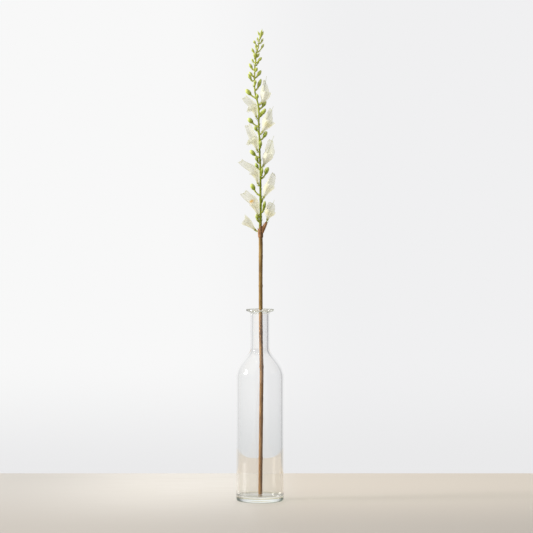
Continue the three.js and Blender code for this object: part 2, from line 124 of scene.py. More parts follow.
# The flowers from the lowest up, in millimetres and degrees. at is the height on the stem, turn the
# way the flower faces round it, and roll how far its lips are turned round the tube. throat is how far
# out and up the mouth lies, and wide its radius. leave and mouth are tilts above level at the stem and
# at the mouth, and full is how much the tube bellies out from a plain cone. Each lip has a length, a
# tilt and, as a share of the mouth's, a width at its end. gap is the share of that length that the rim
# keeps where the lips meet, and faced is how far the upper and the lower lip turn to the front. gold
# is how yellow the inside is, spot is where along and round a lip an orange patch lies, and style is
# how far the style stands out beyond the upper lip, if it does.
FLOWERS = [
    dict(at=421.5, turn=172, roll=-22.5, throat=(21.8, 14.8), wide=7.0, leave=34, mouth=30, full=0.1,
         upper=(7.5, 34, 1.05), lower=(5, 26, 1.05), gold=0.15, style=0, gap=0.7),
    dict(at=424.0, turn=346, roll=45, throat=(16.0, 28.5), wide=8.8, leave=60, mouth=60, full=1.0,
         upper=(13, 56, 0.95), lower=(3.5, 66, 0.9), gold=0.6, style=4),
    dict(at=443.5, turn=216, roll=-45, throat=(12.2, 21.7), wide=7.6, leave=62, mouth=50, full=0.4,
         upper=(26, 27, 1.05), lower=(5, 20, 1.0), gold=0.5, style=0, spot=(1.1, 0.5),
         faced=(0.35, 0)),
    dict(at=471.5, turn=350, roll=45, throat=(14.2, 19.8), wide=7.6, leave=42, mouth=44, full=0.75,
         upper=(21, 58, 0.95), lower=(6, 36, 0.95), gold=0.5, style=0),
    dict(at=493.0, turn=204, roll=-45, throat=(10.4, 21.3), wide=7.2, leave=62, mouth=46, full=0.4,
         upper=(29.5, 23, 0.8), lower=(5, 20, 1.0), gold=0.5, style=0, faced=(0.4, 0)),
    dict(at=521.5, turn=10, roll=45, throat=(12.8, 18.4), wide=8.0, leave=44, mouth=50, full=0.9,
         upper=(25, 66, 0.85), lower=(4, 62, 0.9), gold=0.2, style=5, faced=(0.8, 0)),
    dict(at=545.5, turn=196, roll=-45, throat=(9.6, 18.8), wide=7.2, leave=60, mouth=52, full=0.4,
         upper=(25, 56, 0.85), lower=(10.5, -34, 0.8), gold=0.45, style=0, faced=(0.5, 0.7)),
    dict(at=573.5, turn=343, roll=22.5, throat=(15.4, 19.6), wide=9.4, leave=40, mouth=48, full=0.7,
         upper=(18, 58, 0.6), lower=(5.5, 40, 0.95), gold=0.8, style=3),
    dict(at=597.5, turn=197, roll=-45, throat=(8.6, 17.6), wide=6.6, leave=60, mouth=58, full=0.4,
         upper=(23, 33, 0.9), lower=(10.5, -38, 0.8), gold=0.5, style=0, faced=(0.6, 0.7)),
    dict(at=619.5, turn=348, roll=22.5, throat=(12.0, 18.6), wide=8.6, leave=32, mouth=70, full=1.0,
         upper=(19, 76, 0.6), lower=(2.5, 80, 0.95), gold=0.15, style=4),
]
# The place in the list of the flower that grows on the sheath's branch.
BRANCH_FLOWER = 1
# A swelling gives shares of the full width at shares of the length.
TUBE_SWELLING = ([0, 0.12, 0.3, 0.55, 0.8, 1], [0, 0.12, 0.34, 0.7, 0.94, 1])
# How far behind the start of its path a bud's stalk begins, inside the stem.
SUNK = 1.1 * MM

# A bud with a twin on its stalk: both buds' tips out and up, lengths and widths, in millimetres.
TWINS = {
    "bud_01": [((8.8, 11.6), 8.5, 4.4), ((8.4, 6.0), 6.0, 3.2)],
    "bud_02": [((7.6, 17.4), 10.5, 4.8), ((6.6, 9.4), 7.0, 3.6)],
    "bud_14": [((11.6, 12.0), 8.6, 6.0), ((6.2, 8.6), 7.0, 4.6)],
}
BUD_SWELLING = (
    [0, 0.1, 0.25, 0.4, 0.55, 0.7, 0.85, 0.94, 1],
    [0.34, 0.5, 0.74, 0.93, 1, 0.94, 0.7, 0.45, 0.04],
)
TIP_SWELLING = ([0, 0.12, 0.3, 0.5, 0.7, 0.88, 1], [0.45, 0.8, 1, 0.9, 0.62, 0.3, 0.04])
STALK_RADIUS = 1.12 * MM
BUD_COUNT = 36
# How much fuller a bud is than its packed stand-in.
PLUMPNESS = 1.08
# The growing tip's buds: foot, tip, length and width, in millimetres.
TIP_BUDS = [
    ((0.3, 9.4, 723.0), (3.3, 9.5, 738), 12.0, 4.0),
    ((0.6, 9.4, 726.0), (-4.0, 8.8, 734.6), 6.4, 2.6),
    ((0.9, 9.4, 727.0), (5.8, 11.2, 735.0), 6.0, 2.4),
    ((0.5, 9.3, 726.0), (6.0, 7.6, 731.2), 5.4, 2.4),
]
# Small pointed scales on the bare stretches of the rachis: height, turn, length, width.
SCALES = [
    (437.0, 350, 4.4, 2.4), (460.5, 268, 6.0, 2.4), (474.0, 20, 4.0, 2.8), (486.5, 358, 2.6, 3.0),
    (531.5, 12, 5.0, 2.0), (553.0, 80, 4.4, 2.2), (582.0, 10, 3.6, 2.0), (622.0, 240, 3.6, 2.2),
    (656.5, 262, 3.2, 2.4), (703.0, 250, 4.0, 2.2),
]
# More of them, spaced evenly up the rest and turned like the leaves of most plants.
SCALES += [(566.0 + 6.7 * k, 137.5 * k, 5.4 - 0.08 * k, 2.3) for k in range(24)]

# Each petal sheet has this many corners round it, rows up its tube and rows out over its lips.
PETAL_COLUMNS = 96
TUBE_ROWS = 27
LIP_ROWS = 22
PETAL_WALL = 0.32 * MM
# For each stamen, the angle from the middle of the upper lip, and the share of the tube's length where
# it ends. The last one is the style.
STAMENS = [(-0.5, 0.93), (-0.2, 0.8), (0.25, 0.82), (0.55, 0.95), (0.0, 1.05)]


# ---- Lines through space -------------------------------------------------------------------------

def unit(v):
    """The same direction with length 1, for one direction or for rows of them."""
    return v / np.linalg.norm(v, axis=-1, keepdims=True)


def smooth(low, high, x):
    """Goes smoothly from 0 to 1 as x goes from low to high."""
    share = np.clip((np.asarray(x, float) - low) / (high - low), 0, 1)
    return share * share * (3 - 2 * share)


def facing(turn):
    """The level direction at a turn from +X, in degrees."""
    return np.array([math.cos(math.radians(turn)), math.sin(math.radians(turn)), 0.0])


def tilted(outward, tilt):
    """A level direction, tilted up by some degrees."""
    return outward * math.cos(math.radians(tilt)) + UP * math.sin(math.radians(tilt))


class Route:
    """A smooth line, read by the distance along it, that runs straight on past its ends."""

    def __init__(self, points):
        self.points = np.array(points, float)
        steps = np.linalg.norm(np.diff(self.points, axis=0), axis=1)
        self.marks = np.concatenate([[0], np.cumsum(steps)])
        self.length = self.marks[-1]
        self.headings = unit(np.gradient(self.points, self.marks, axis=0))

    def at(self, distance):
        """The points and the headings at these distances."""
        distance = np.atleast_1d(np.asarray(distance, float))
        inside = np.clip(distance, 0, self.length)
        point = np.stack([np.interp(inside, self.marks, c) for c in self.points.T], -1)
        heading = unit(np.stack([np.interp(inside, self.marks, c) for c in self.headings.T], -1))
        return point + heading * (distance - inside)[:, None], heading

    def across(self, distance, side):
        """The point, the heading, and the two directions across the line there."""
        point, heading = self.at(distance)
        above = unit(np.cross(heading, side))
        return point, heading, above, np.cross(above, heading)


def bezier(start, leave, arrive, end):
    """A curve that leaves one point and arrives at another in these directions."""
    reach = 0.38 * np.linalg.norm(end - start)
    t = np.linspace(0, 1, 70)[:, None]
    a, b = start + leave * reach, end - arrive * reach
    return Route((1 - t) ** 3 * start + 3 * (1 - t) ** 2 * t * a + 3 * (1 - t) * t * t * b + t**3 * end)


def points_of(node):
    """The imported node's corners, each once."""
    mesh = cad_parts[node].data
    flat = np.empty(len(mesh.vertices) * 3)
    mesh.vertices.foreach_get("co", flat)
    return np.unique(np.round(flat.reshape(-1, 3), 6), axis=0)


def stem_line():
    """The stem's centre line and radii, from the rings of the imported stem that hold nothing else."""
    corners = points_of("stem")
    corners = corners[np.argsort(corners[:, 2])]
    breaks = np.flatnonzero(np.diff(corners[:, 2]) > 1.2 * MM) + 1
    centres, radii = [], []
    for ring in np.split(corners, breaks):
        spread = np.linalg.norm(ring - ring.mean(0), axis=1)
        if len(ring) in (8, 9) and spread.max() < 3.2 * MM:
            centres.append(ring.mean(0))
            radii.append(spread.max())
    return np.array(centres), np.array(radii)


STEM_CENTRES, STEM_RADII = stem_line()


def stem_at(height):
    """The middle of the stem at a height."""
    x, y = (np.interp(height, STEM_CENTRES[:, 2], STEM_CENTRES[:, k]) for k in (0, 1))
    return np.array([x, y, height])


def stem_radius(height):
    """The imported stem's radius at a height."""
    return float(np.interp(height, STEM_CENTRES[:, 2], STEM_RADII))


def skin_radius(height):
    """How far the outside of the stem, or of the sheath round it, is from the middle."""
    return SHEATH_RADIUS if SHEATH_FROM < height < SHEATH_TO else stem_radius(height)


def stalk_route(at, turn, out, up, radius, leave, arrive):
    """The path of a stalk from the stem's skin to a point some way out and up from its middle."""
    outward = facing(turn)
    root = stem_at(at)
    skin = skin_radius(at) * 1.04 + CLEARANCE + radius * math.sin(math.radians(leave))
    end = root + outward * out + UP * up
    return bezier(root + outward * skin, tilted(outward, leave), tilted(outward, arrive), end)


# ---- Meshes --------------------------------------------------------------------------------------

def settled(obj):
    """Turns what the modifiers make into the object's own plain mesh."""
    bpy.context.view_layer.update()
    graph = bpy.context.evaluated_depsgraph_get()
    mesh = bpy.data.meshes.new_from_object(obj.evaluated_get(graph), depsgraph=graph)
    obj.modifiers.clear()
    obj.data = mesh
    return obj


def new_object(name, corners, faces, edges=()):
    """An object of these corners, with faces or edges between them."""
    mesh = bpy.data.meshes.new(name)
    mesh.from_pydata([tuple(c) for c in corners], list(edges), faces)
    obj = bpy.data.objects.new(name, mesh)
    bpy.context.scene.collection.objects.link(obj)
    return obj


def sheet_object(name, rows, materials, closed=True, capped=False):
    """A surface laid through rows of points, with u round the row and v along the rows. Faces point
    out where the rows turn right-handed round the way they run."""
    count, columns = rows.shape[:2]
    spans = columns if closed else columns - 1
    faces, uvs = [], []
    for i in range(count - 1):
        this, following = i * columns, (i + 1) * columns
        low, high = i / (count - 1), (i + 1) / (count - 1)
        for j in range(spans):
            k = (j + 1) % columns
            faces.append((this + j, this + k, following + k, following + j))
            left, right = j / spans, (j + 1) / spans
            uvs += [(left, low), (right, low), (right, high), (left, high)]
    corners = list(rows.reshape(-1, 3))
    for end, row in ((0, 0), (1, count - 1)) if capped else ():
        corners.append(rows[row].mean(0))
        for j in range(columns):
            pair = (row * columns + (j + 1) % columns, row * columns + j)
            faces.append((pair if end == 0 else pair[::-1]) + (len(corners) - 1,))
            uvs += [(j / spans, end)] * 3
    obj = new_object(name, corners, faces)
    layer = obj.data.uv_layers.new(name="along")
    layer.data.foreach_set("uv", np.array(uvs, float).ravel())
    obj.data.polygons.foreach_set("use_smooth", [True] * len(faces))
    for material in materials:
        obj.data.materials.append(material)
    return obj


def store(obj, name, values):
    """Keeps a number for each corner of an object."""
    layer = obj.data.attributes.new(name, "FLOAT", "POINT")
    layer.data.foreach_set("value", np.asarray(values, float).ravel())


def thicken(obj, thickness, inner_material=0, offset=-1):
    """Gives a sheet a wall, whose inner side takes another of its materials."""
    wall = obj.modifiers.new("wall", "SOLIDIFY")
    wall.thickness = thickness
    wall.offset = offset
    wall.use_even_offset = False
    wall.material_offset = inner_material
    return settled(obj)


def join(name, objects):
    """One object from several, with their materials."""
    first = objects[0]
    if len(objects) > 1:
        chosen = dict(active_object=first, object=first, selected_objects=objects,
                      selected_editable_objects=objects)
        with bpy.context.temp_override(**chosen):
            bpy.ops.object.join()
    first.name = name
    first.data.name = name
    return first


def finished(obj, slot, *nodes):
    """Hangs a piece under the root, and hides the imported nodes that it stands for."""
    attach(obj, "root")
    if nodes:
        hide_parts(*nodes)


# ---- Node trees ----------------------------------------------------------------------------------

def add(tree, kind, inputs=None, **options):
    """Adds a node with its options, and fills its inputs with values or with other nodes' sockets."""
    node = tree.nodes.new(kind)
    for option, value in options.items():
        setattr(node, option, value)
    for key, value in (inputs or {}).items():
        if isinstance(value, bpy.types.NodeSocket):
            tree.links.new(value, node.inputs[key])
        elif value is not None:
            node.inputs[key].default_value = value
    return node


def calc(tree, operation, a, b=None):
    """A sum on one or two numbers or sockets."""
    return add(tree, "ShaderNodeMath", {0: a, 1: b}, operation=operation).outputs[0]


def vector_calc(tree, operation, a, b=None):
    """A sum on one or two vectors, or a vector and a number to scale it by."""
    values = {0: a}
    if operation == "SCALE":
        values["Scale"] = b
    else:
        values[1] = b
    node = add(tree, "ShaderNodeVectorMath", values, operation=operation)
    return node.outputs["Value" if operation in ("DOT_PRODUCT", "LENGTH") else "Vector"]


def geometry_tree(name, sizes):
    """A tree that takes a mesh and named sizes. Returns it, its input node and its sockets."""
    tree = bpy.data.node_groups.new(name, "GeometryNodeTree")
    tree.interface.new_socket("Geometry", in_out="INPUT", socket_type="NodeSocketGeometry")
    tree.interface.new_socket("Geometry", in_out="OUTPUT", socket_type="NodeSocketGeometry")
    for size, kind in sizes.items():
        tree.interface.new_socket(size, in_out="INPUT", socket_type="NodeSocket" + kind)
    tree.interface.new_socket("Material", in_out="INPUT", socket_type="NodeSocketMaterial")
    return tree, tree.nodes.new("NodeGroupInput")


def close_tree(tree, given, geometry):
    """Ends a tree in plain, smooth, painted geometry."""
    real = add(tree, "GeometryNodeRealizeInstances", {"Geometry": geometry})
    even = add(tree, "GeometryNodeSetShadeSmooth", {"Geometry": real.outputs[0]})
    painted = add(tree, "GeometryNodeSetMaterial",
                  {"Geometry": even.outputs[0], "Material": given.outputs["Material"]})
    tree.links.new(painted.outputs[0], tree.nodes.new("NodeGroupOutput").inputs[0])


def grow(obj, tree, **sizes):
    """Runs a geometry tree on an object with these sizes, and keeps what it makes as a plain mesh."""
    modifier = obj.modifiers.new(tree.name, "NODES")
    modifier.node_group = tree
    for item in tree.interface.items_tree:
        key = item.name.lower().replace(" ", "_")
        if item.in_out == "INPUT" and key in sizes:
            modifier[item.identifier] = sizes[key]
    return settled(obj)


def stalk_tree():
    """Sweeps a round section along a line of edges, as thick as its corners say, with ridges and
    uneven skin."""
    tree, given = geometry_tree("stalk", {
        "Sides": "Int", "Ridges": "Int", "Ridge Depth": "Float", "Unevenness": "Float",
        "Grain": "Float",
    })
    line = add(tree, "GeometryNodeMeshToCurve", {0: given.outputs["Geometry"]})
    ring = add(tree, "GeometryNodeCurvePrimitiveCircle",
               {"Resolution": given.outputs["Sides"], "Radius": 1.0})
    round_ring = add(tree, "GeometryNodeSplineParameter")
    ring = add(tree, "GeometryNodeStoreNamedAttribute",
               {"Geometry": ring.outputs[0], "Name": "around", "Value": round_ring.outputs["Factor"]},
               data_type="FLOAT", domain="POINT")
    thick = add(tree, "GeometryNodeInputNamedAttribute", {"Name": "thick"}, data_type="FLOAT")
    tube = add(tree, "GeometryNodeCurveToMesh",
               {"Curve": line.outputs[0], "Profile Curve": ring.outputs[0],
                "Scale": thick.outputs[0], "Fill Caps": True})
    where = add(tree, "GeometryNodeInputNamedAttribute", {"Name": "around"}, data_type="FLOAT")
    turned = calc(tree, "MULTIPLY", where.outputs[0], TURN)
    turned = calc(tree, "MULTIPLY", turned, given.outputs["Ridges"])
    ridge = calc(tree, "MULTIPLY", calc(tree, "COSINE", turned), given.outputs["Ridge Depth"])
    grain = add(tree, "ShaderNodeTexNoise", {"Scale": given.outputs["Grain"], "Detail": 2.0})
    rough = calc(tree, "SUBTRACT", grain.outputs[0], 0.5)
    rough = calc(tree, "MULTIPLY", rough, given.outputs["Unevenness"])
    rise = calc(tree, "MULTIPLY", calc(tree, "ADD", ridge, rough), thick.outputs[0])
    normal = add(tree, "GeometryNodeInputNormal")
    out = vector_calc(tree, "SCALE", normal.outputs[0], rise)
    moved = add(tree, "GeometryNodeSetPosition", {"Geometry": tube.outputs[0], "Offset": out})
    close_tree(tree, given, moved.outputs[0])
    return tree


def whorl_tree():
    """Sets copies of one blade round an axis, each leaning and sized a little differently."""
    tree, given = geometry_tree("whorl", {
        "Count": "Int", "Lean": "Float", "Lean Spread": "Float", "Size Spread": "Float",
        "Start Turn": "Float", "Base": "Vector", "Heading": "Vector", "Seed": "Int",
    })
    ring = add(tree, "GeometryNodeMeshCircle", {"Vertices": given.outputs["Count"], "Radius": 0.00001})
    index = add(tree, "GeometryNodeInputIndex")
    step = calc(tree, "DIVIDE", TURN, given.outputs["Count"])
    angle = calc(tree, "ADD", calc(tree, "MULTIPLY", index.outputs[0], step), given.outputs["Start Turn"])
    spread = given.outputs["Lean Spread"]
    wobble = add(tree, "FunctionNodeRandomValue",
                 {2: calc(tree, "MULTIPLY", spread, -1.0), 3: spread, "Seed": given.outputs["Seed"]},
                 data_type="FLOAT")
    lean = calc(tree, "ADD", given.outputs["Lean"], wobble.outputs[1])
    way = add(tree, "ShaderNodeCombineXYZ", {"Y": lean, "Z": angle})
    small = calc(tree, "SUBTRACT", 1.0, given.outputs["Size Spread"])
    size = add(tree, "FunctionNodeRandomValue",
               {2: small, 3: 1.0, "Seed": calc(tree, "ADD", given.outputs["Seed"], 7.0)},
               data_type="FLOAT")
    blades = add(tree, "GeometryNodeInstanceOnPoints",
                 {"Points": ring.outputs[0], "Instance": given.outputs["Geometry"],
                  "Rotation": way.outputs[0], "Scale": size.outputs[1]})
    real = add(tree, "GeometryNodeRealizeInstances", {"Geometry": blades.outputs[0]})
    turned = add(tree, "FunctionNodeAlignRotationToVector", {"Vector": given.outputs["Heading"]}, axis="Z")
    placed = add(tree, "GeometryNodeTransform",
                 {"Geometry": real.outputs[0], "Translation": given.outputs["Base"],
                  "Rotation": turned.outputs[0]})
    close_tree(tree, given, placed.outputs[0])
    return tree


def revolve_tree():
    """Turns a line of edges about the Z axis, and closes it where it meets the axis. The line is drawn
    flat: its X is the radius less the hub's, and its Y is the height, counted down."""
    tree, given = geometry_tree("revolve", {"Segments": "Int", "Hub": "Float"})
    line = add(tree, "GeometryNodeMeshToCurve", {0: given.outputs["Geometry"]})
    hub = add(tree, "GeometryNodeCurvePrimitiveCircle",
              {"Resolution": given.outputs["Segments"], "Radius": given.outputs["Hub"]})
    turned = add(tree, "GeometryNodeCurveToMesh",
                 {"Curve": hub.outputs[0], "Profile Curve": line.outputs[0]})
    whole = add(tree, "GeometryNodeMergeByDistance", {"Geometry": turned.outputs[0], "Distance": 1e-6})
    close_tree(tree, given, whole.outputs[0])
    return tree


def down_tree():
    """Scatters short fine hairs over a surface above a height."""
    tree, given = geometry_tree("down", {
        "Density": "Float", "Length": "Float", "Thickness": "Float", "From": "Float", "Seed": "Int",
    })
    place = add(tree, "GeometryNodeInputPosition")
    height = add(tree, "ShaderNodeSeparateXYZ", {0: place.outputs[0]})
    above = add(tree, "FunctionNodeCompare", {0: height.outputs[2], 1: given.outputs["From"]},
                data_type="FLOAT", operation="GREATER_THAN")
    spots = add(tree, "GeometryNodeDistributePointsOnFaces",
                {"Mesh": given.outputs["Geometry"], "Selection": above.outputs[0],
                 "Density": given.outputs["Density"], "Seed": given.outputs["Seed"]},
                distribute_method="RANDOM")
    hair = add(tree, "GeometryNodeMeshCone",
               {"Vertices": 3, "Side Segments": 1, "Radius Top": 0.0,
                "Radius Bottom": given.outputs["Thickness"], "Depth": given.outputs["Length"]},
               fill_type="NONE")
    tilt = add(tree, "FunctionNodeRandomValue",
               {0: (-0.5, -0.5, 0.0), 1: (0.5, 0.5, TURN), "Seed": given.outputs["Seed"]},
               data_type="FLOAT_VECTOR")
    way = add(tree, "FunctionNodeRotateRotation",
              {"Rotation": spots.outputs["Rotation"], "Rotate By": tilt.outputs[0]},
              rotation_space="LOCAL")
    hairs = add(tree, "GeometryNodeInstanceOnPoints",
                {"Points": spots.outputs[0], "Instance": hair.outputs[0], "Rotation": way.outputs[0]})
    close_tree(tree, given, hairs.outputs[0])
    return tree


STALK_TREE = stalk_tree()
WHORL_TREE = whorl_tree()
REVOLVE_TREE = revolve_tree()
DOWN_TREE = down_tree()


# ---- Finishes ------------------------------------------------------------------------------------

def paint(red, green, blue):
    """A colour from its everyday 0 to 255 numbers."""
    def linear(c):
        c /= 255
        return c / 12.92 if c <= 0.04045 else ((c + 0.055) / 1.055) ** 2.4
    return (linear(red), linear(green), linear(blue), 1.0)


def new_material(name, roughness):
    """A material with its node tree and its shader."""
    made = bpy.data.materials.new(name)
    made.use_nodes = True
    shader = made.node_tree.nodes["Principled BSDF"]
    shader.inputs["Roughness"].default_value = roughness
    return made, made.node_tree, shader


def object_point(tree, stretch=(1, 1, 1)):
    """Where a point is on the object, with each direction stretched."""
    here = add(tree, "ShaderNodeTexCoord").outputs["Object"]
    return vector_calc(tree, "MULTIPLY", here, stretch)


def height_of(tree):
    """How high above the table a point is."""
    return add(tree, "ShaderNodeSeparateXYZ", {0: object_point(tree)}).outputs[2]


def noise(tree, point, scale, detail=3.0, roughness=0.5):
    """Soft cloudy numbers about 0.5."""
    inputs = {"Vector": point, "Scale": scale, "Detail": detail, "Roughness": roughness}
    return add(tree, "ShaderNodeTexNoise", inputs).outputs[0]


def band(tree, value, low, high, start=0.0, end=1.0):
    """Goes smoothly from start to end as the value goes from low to high."""
    inputs = {"Value": value, "From Min": low, "From Max": high, "To Min": start, "To Max": end}
    return add(tree, "ShaderNodeMapRange", inputs, interpolation_type="SMOOTHSTEP").outputs[0]


def ramp(tree, value, stops):
    """The colour for a value, between the colours at its stops."""
    node = add(tree, "ShaderNodeValToRGB", {0: value})
    elements = node.color_ramp.elements
    while len(elements) < len(stops):
        elements.new(0.5)
    for element, (position, colour) in zip(elements, stops):
        element.position = position
        element.color = colour
    return node.outputs[0]


def blend(tree, share, first, second):
    """Goes from the first colour to the second as the share goes from 0 to 1."""
    return add(tree, "ShaderNodeMix", {0: share, 6: first, 7: second}, data_type="RGBA").outputs[2]


def bump(tree, shader, height, distance, strength):
    """Raises the skin by a height pattern."""
    inputs = {"Height": height, "Distance": distance, "Strength": strength}
    tree.links.new(add(tree, "ShaderNodeBump", inputs).outputs[0], shader.inputs["Normal"])


def attribute(tree, name):
    """The number kept under a name for each corner."""
    return add(tree, "ShaderNodeAttribute", attribute_name=name).outputs["Fac"]


def along_surface(tree):
    """The place round and along a surface, and how far along it alone."""
    layer = add(tree, "ShaderNodeUVMap", uv_map="along")
    parts = add(tree, "ShaderNodeSeparateXYZ", {0: layer.outputs[0]})
    return layer.outputs[0], parts.outputs[1]


def let_light_through(tree, shader, colour, share):
    """Makes a thin petal or leaf glow a little with the light behind it, and gives the surface."""
    glow = add(tree, "ShaderNodeBsdfTranslucent", {"Color": colour})
    mixed = add(tree, "ShaderNodeMixShader", {0: share, 1: shader.outputs[0], 2: glow.outputs[0]})
    tree.links.new(mixed.outputs[0], tree.nodes["Material Output"].inputs["Surface"])
    return mixed.outputs[0]


def soften_shade(tree, surface, tint):
    """Lets the light that falls on other things pass through, tinted, so that shade stays soft."""
    through = add(tree, "ShaderNodeBsdfTransparent", {"Color": tint})
    light = add(tree, "ShaderNodeLightPath")
    for ray in ("Is Diffuse Ray", "Is Shadow Ray"):
        mix = add(tree, "ShaderNodeMixShader", {0: light.outputs[ray], 1: surface, 2: through.outputs[0]})
        surface = mix.outputs[0]
    tree.links.new(surface, tree.nodes["Material Output"].inputs["Surface"])


def painted_refraction_share(tree):
    """How much of the painted warm refraction of the table low down in the bottle shows: its edge
    rises towards the sides, and it is fainter close to the floor."""
    place = object_point(tree)
    half_width, rise_at_side, slant = 0.031, 0.0078, 0.125
    sideways = vector_calc(tree, "DOT_PRODUCT", place, (1 / half_width, 0, 0))
    rise = calc(tree, "POWER", calc(tree, "ABSOLUTE", sideways), 4.0)
    rise = calc(tree, "MULTIPLY", rise, rise_at_side)
    flat = vector_calc(tree, "DOT_PRODUCT", place, (0, slant, 1))
    level = calc(tree, "SUBTRACT", flat, rise)
    below_edge = band(tree, level, *PAINTED_REFRACTION_EDGE, 1.0, 0.0)
    return calc(tree, "MULTIPLY", below_edge, band(tree, flat, *PAINTED_REFRACTION_FOOT, 0.35, 1.0))


def heel_share(tree, height):
    """How much of the thin line round the outside of the foot shows."""
    radius = vector_calc(tree, "LENGTH", object_point(tree, (1, 1, 0)))
    above = band(tree, height, *HEEL_STARTS)
    below = band(tree, height, *HEEL_ENDS, 1.0, 0.0)
    line = calc(tree, "MULTIPLY", above, below)
    return calc(tree, "MULTIPLY", line, band(tree, radius, *HEEL_OUT))


def glass_finish():
    """Clear bottle glass, greyer low down with painted shade, with a painted warm refraction of the table
    inside, a straw-coloured line round the heel, and a green that darkens where the thick foot and the
    lip turn away."""
    made, tree, shader = new_material("clear_bottle_glass", 0.0)
    height = height_of(tree)
    # Painted shade: the glass is a little greyer low down.
    low = band(tree, height, *GREYER_DOWN, 1.0, 0.0)
    clear = blend(tree, low, (0.998, 1, 0.998, 1), (0.95, 0.957, 0.953, 1))
    # A painted warm refraction of the table, seen through the glass low down.
    clear = blend(tree, painted_refraction_share(tree), clear, (0.955, 0.915, 0.85, 1))
    facing_away = add(tree, "ShaderNodeLayerWeight", {"Blend": 0.5}).outputs["Facing"]
    ends = band(tree, facing_away, 0.3, 0.6)
    foot = blend(tree, ends, (0.93, 0.97, 0.96, 1), (0.03, 0.07, 0.05, 1))
    clear = blend(tree, band(tree, height, *FOOT_TINT, 1.0, 0.0), clear, foot)
    clear = blend(tree, heel_share(tree, height), clear, (0.72, 0.66, 0.42, 1))
    lip = blend(tree, ends, (0.96, 0.97, 0.95, 1), (0.4, 0.42, 0.34, 1))
    clear = blend(tree, band(tree, height, *LIP_TINT), clear, lip)
    tree.links.new(clear, shader.inputs["Base Color"])
    shader.inputs["Transmission Weight"].default_value = 1.0
    shader.inputs["IOR"].default_value = 1.5
    soften_shade(tree, shader.outputs[0], (0.95, 0.96, 0.95, 1))
    return made


def bark_colour(tree, mottled, height, corky):
    """Tan, redder inside the bottle, with pale corky spots, and painted shade on the right side."""
    dry = ramp(tree, mottled, [
        (0.3, paint(86, 62, 32)), (0.47, paint(142, 110, 62)), (0.6, paint(184, 152, 90)),
        (0.75, paint(208, 178, 114)),
    ])
    # Darker and redder inside the bottle.
    in_bottle_tone = ramp(tree, mottled, [
        (0.3, paint(88, 56, 28)), (0.47, paint(144, 102, 58)), (0.6, paint(182, 136, 82)),
        (0.75, paint(206, 166, 110)),
    ])
    in_bottle = band(tree, height, 0.285, 0.305, 1.0, 0.0)
    colour = blend(tree, in_bottle, dry, in_bottle_tone)
    colour = blend(tree, corky, colour, paint(204, 178, 126))
    # Painted shade: the right side, away from the light, is darkened.
    painted_shade = band(tree, attribute(tree, "side"), -0.05, 0.4, 0.0, 0.5)
    return blend(tree, painted_shade, colour, paint(78, 54, 30))


def green_colour(tree, mottled, height):
    """Fresh green that gets paler up the spike."""
    colour = ramp(tree, mottled, [
        (0.3, paint(92, 104, 14)), (0.5, paint(134, 144, 28)), (0.7, paint(178, 184, 66)),
    ])
    paler = band(tree, height, 0.5, 0.72, 0.0, 0.85)
    return blend(tree, paler, colour, paint(208, 212, 104))


def stem_finish():
    """Fibrous bark below the sheath, and a green skin above it."""
    made, tree, shader = new_material("stem_skin", 0.62)
    shader.inputs["Specular IOR Level"].default_value = 0.2
    height = height_of(tree)
    fibre = noise(tree, object_point(tree, (1, 1, 0.05)), 1500, 4, 0.6)
    patch = noise(tree, object_point(tree, (1, 1, 0.25)), 160, 3)
    mottled = calc(tree, "ADD", calc(tree, "MULTIPLY", fibre, 0.6), calc(tree, "MULTIPLY", patch, 0.4))
    spots = add(tree, "ShaderNodeTexVoronoi",
                {"Vector": object_point(tree, (1, 1, 0.45)), "Scale": 420.0, "Randomness": 1.0})
    corky = band(tree, spots.outputs["Distance"], 0.1, 0.2, 0.5, 0.0)
    uneven_height = calc(tree, "ADD", height, calc(tree, "MULTIPLY", patch, 0.01))
    fresh = band(tree, uneven_height, 0.418, 0.446)
    bark = bark_colour(tree, mottled, height, corky)
    skin = blend(tree, fresh, bark, green_colour(tree, mottled, height))
    tree.links.new(skin, shader.inputs["Base Color"])
    tree.links.new(band(tree, fibre, 0.3, 0.7, 0.55, 0.75), shader.inputs["Roughness"])
    relief = calc(tree, "ADD", fibre, calc(tree, "MULTIPLY", corky, 0.8))
    bump(tree, shader, relief, 0.00035, 0.8)
    return made


def sheath_finish():
    """Dry brown skin with long fibres, and painted shade low down on its right."""
    made, tree, shader = new_material("dry_sheath", 0.7)
    fibre = noise(tree, object_point(tree, (1, 1, 0.09)), 1700, 4, 0.65)
    patch = noise(tree, object_point(tree), 260, 3)
    mixed = calc(tree, "ADD", calc(tree, "MULTIPLY", fibre, 0.65), calc(tree, "MULTIPLY", patch, 0.35))
    colour = ramp(tree, mixed, [
        (0.32, paint(100, 68, 40)), (0.46, paint(148, 106, 70)), (0.6, paint(180, 134, 92)),
        (0.75, paint(212, 172, 126)),
    ])
    shader.inputs["Specular IOR Level"].default_value = 0.25
    # Painted shade on the right side, mostly low down.
    painted_shade = band(tree, attribute(tree, "side"), 0.05, 0.5, 0.0, 0.75)
    low_down = band(tree, height_of(tree), 0.4215, 0.4255, 1.0, 0.3)
    painted_shade = calc(tree, "MULTIPLY", painted_shade, low_down)
    colour = blend(tree, painted_shade, colour, paint(84, 62, 28))
    tree.links.new(colour, shader.inputs["Base Color"])
    tree.links.new(band(tree, fibre, 0.3, 0.7, 0.6, 0.85), shader.inputs["Roughness"])
    bump(tree, shader, fibre, 0.0005, 0.9)
    return made


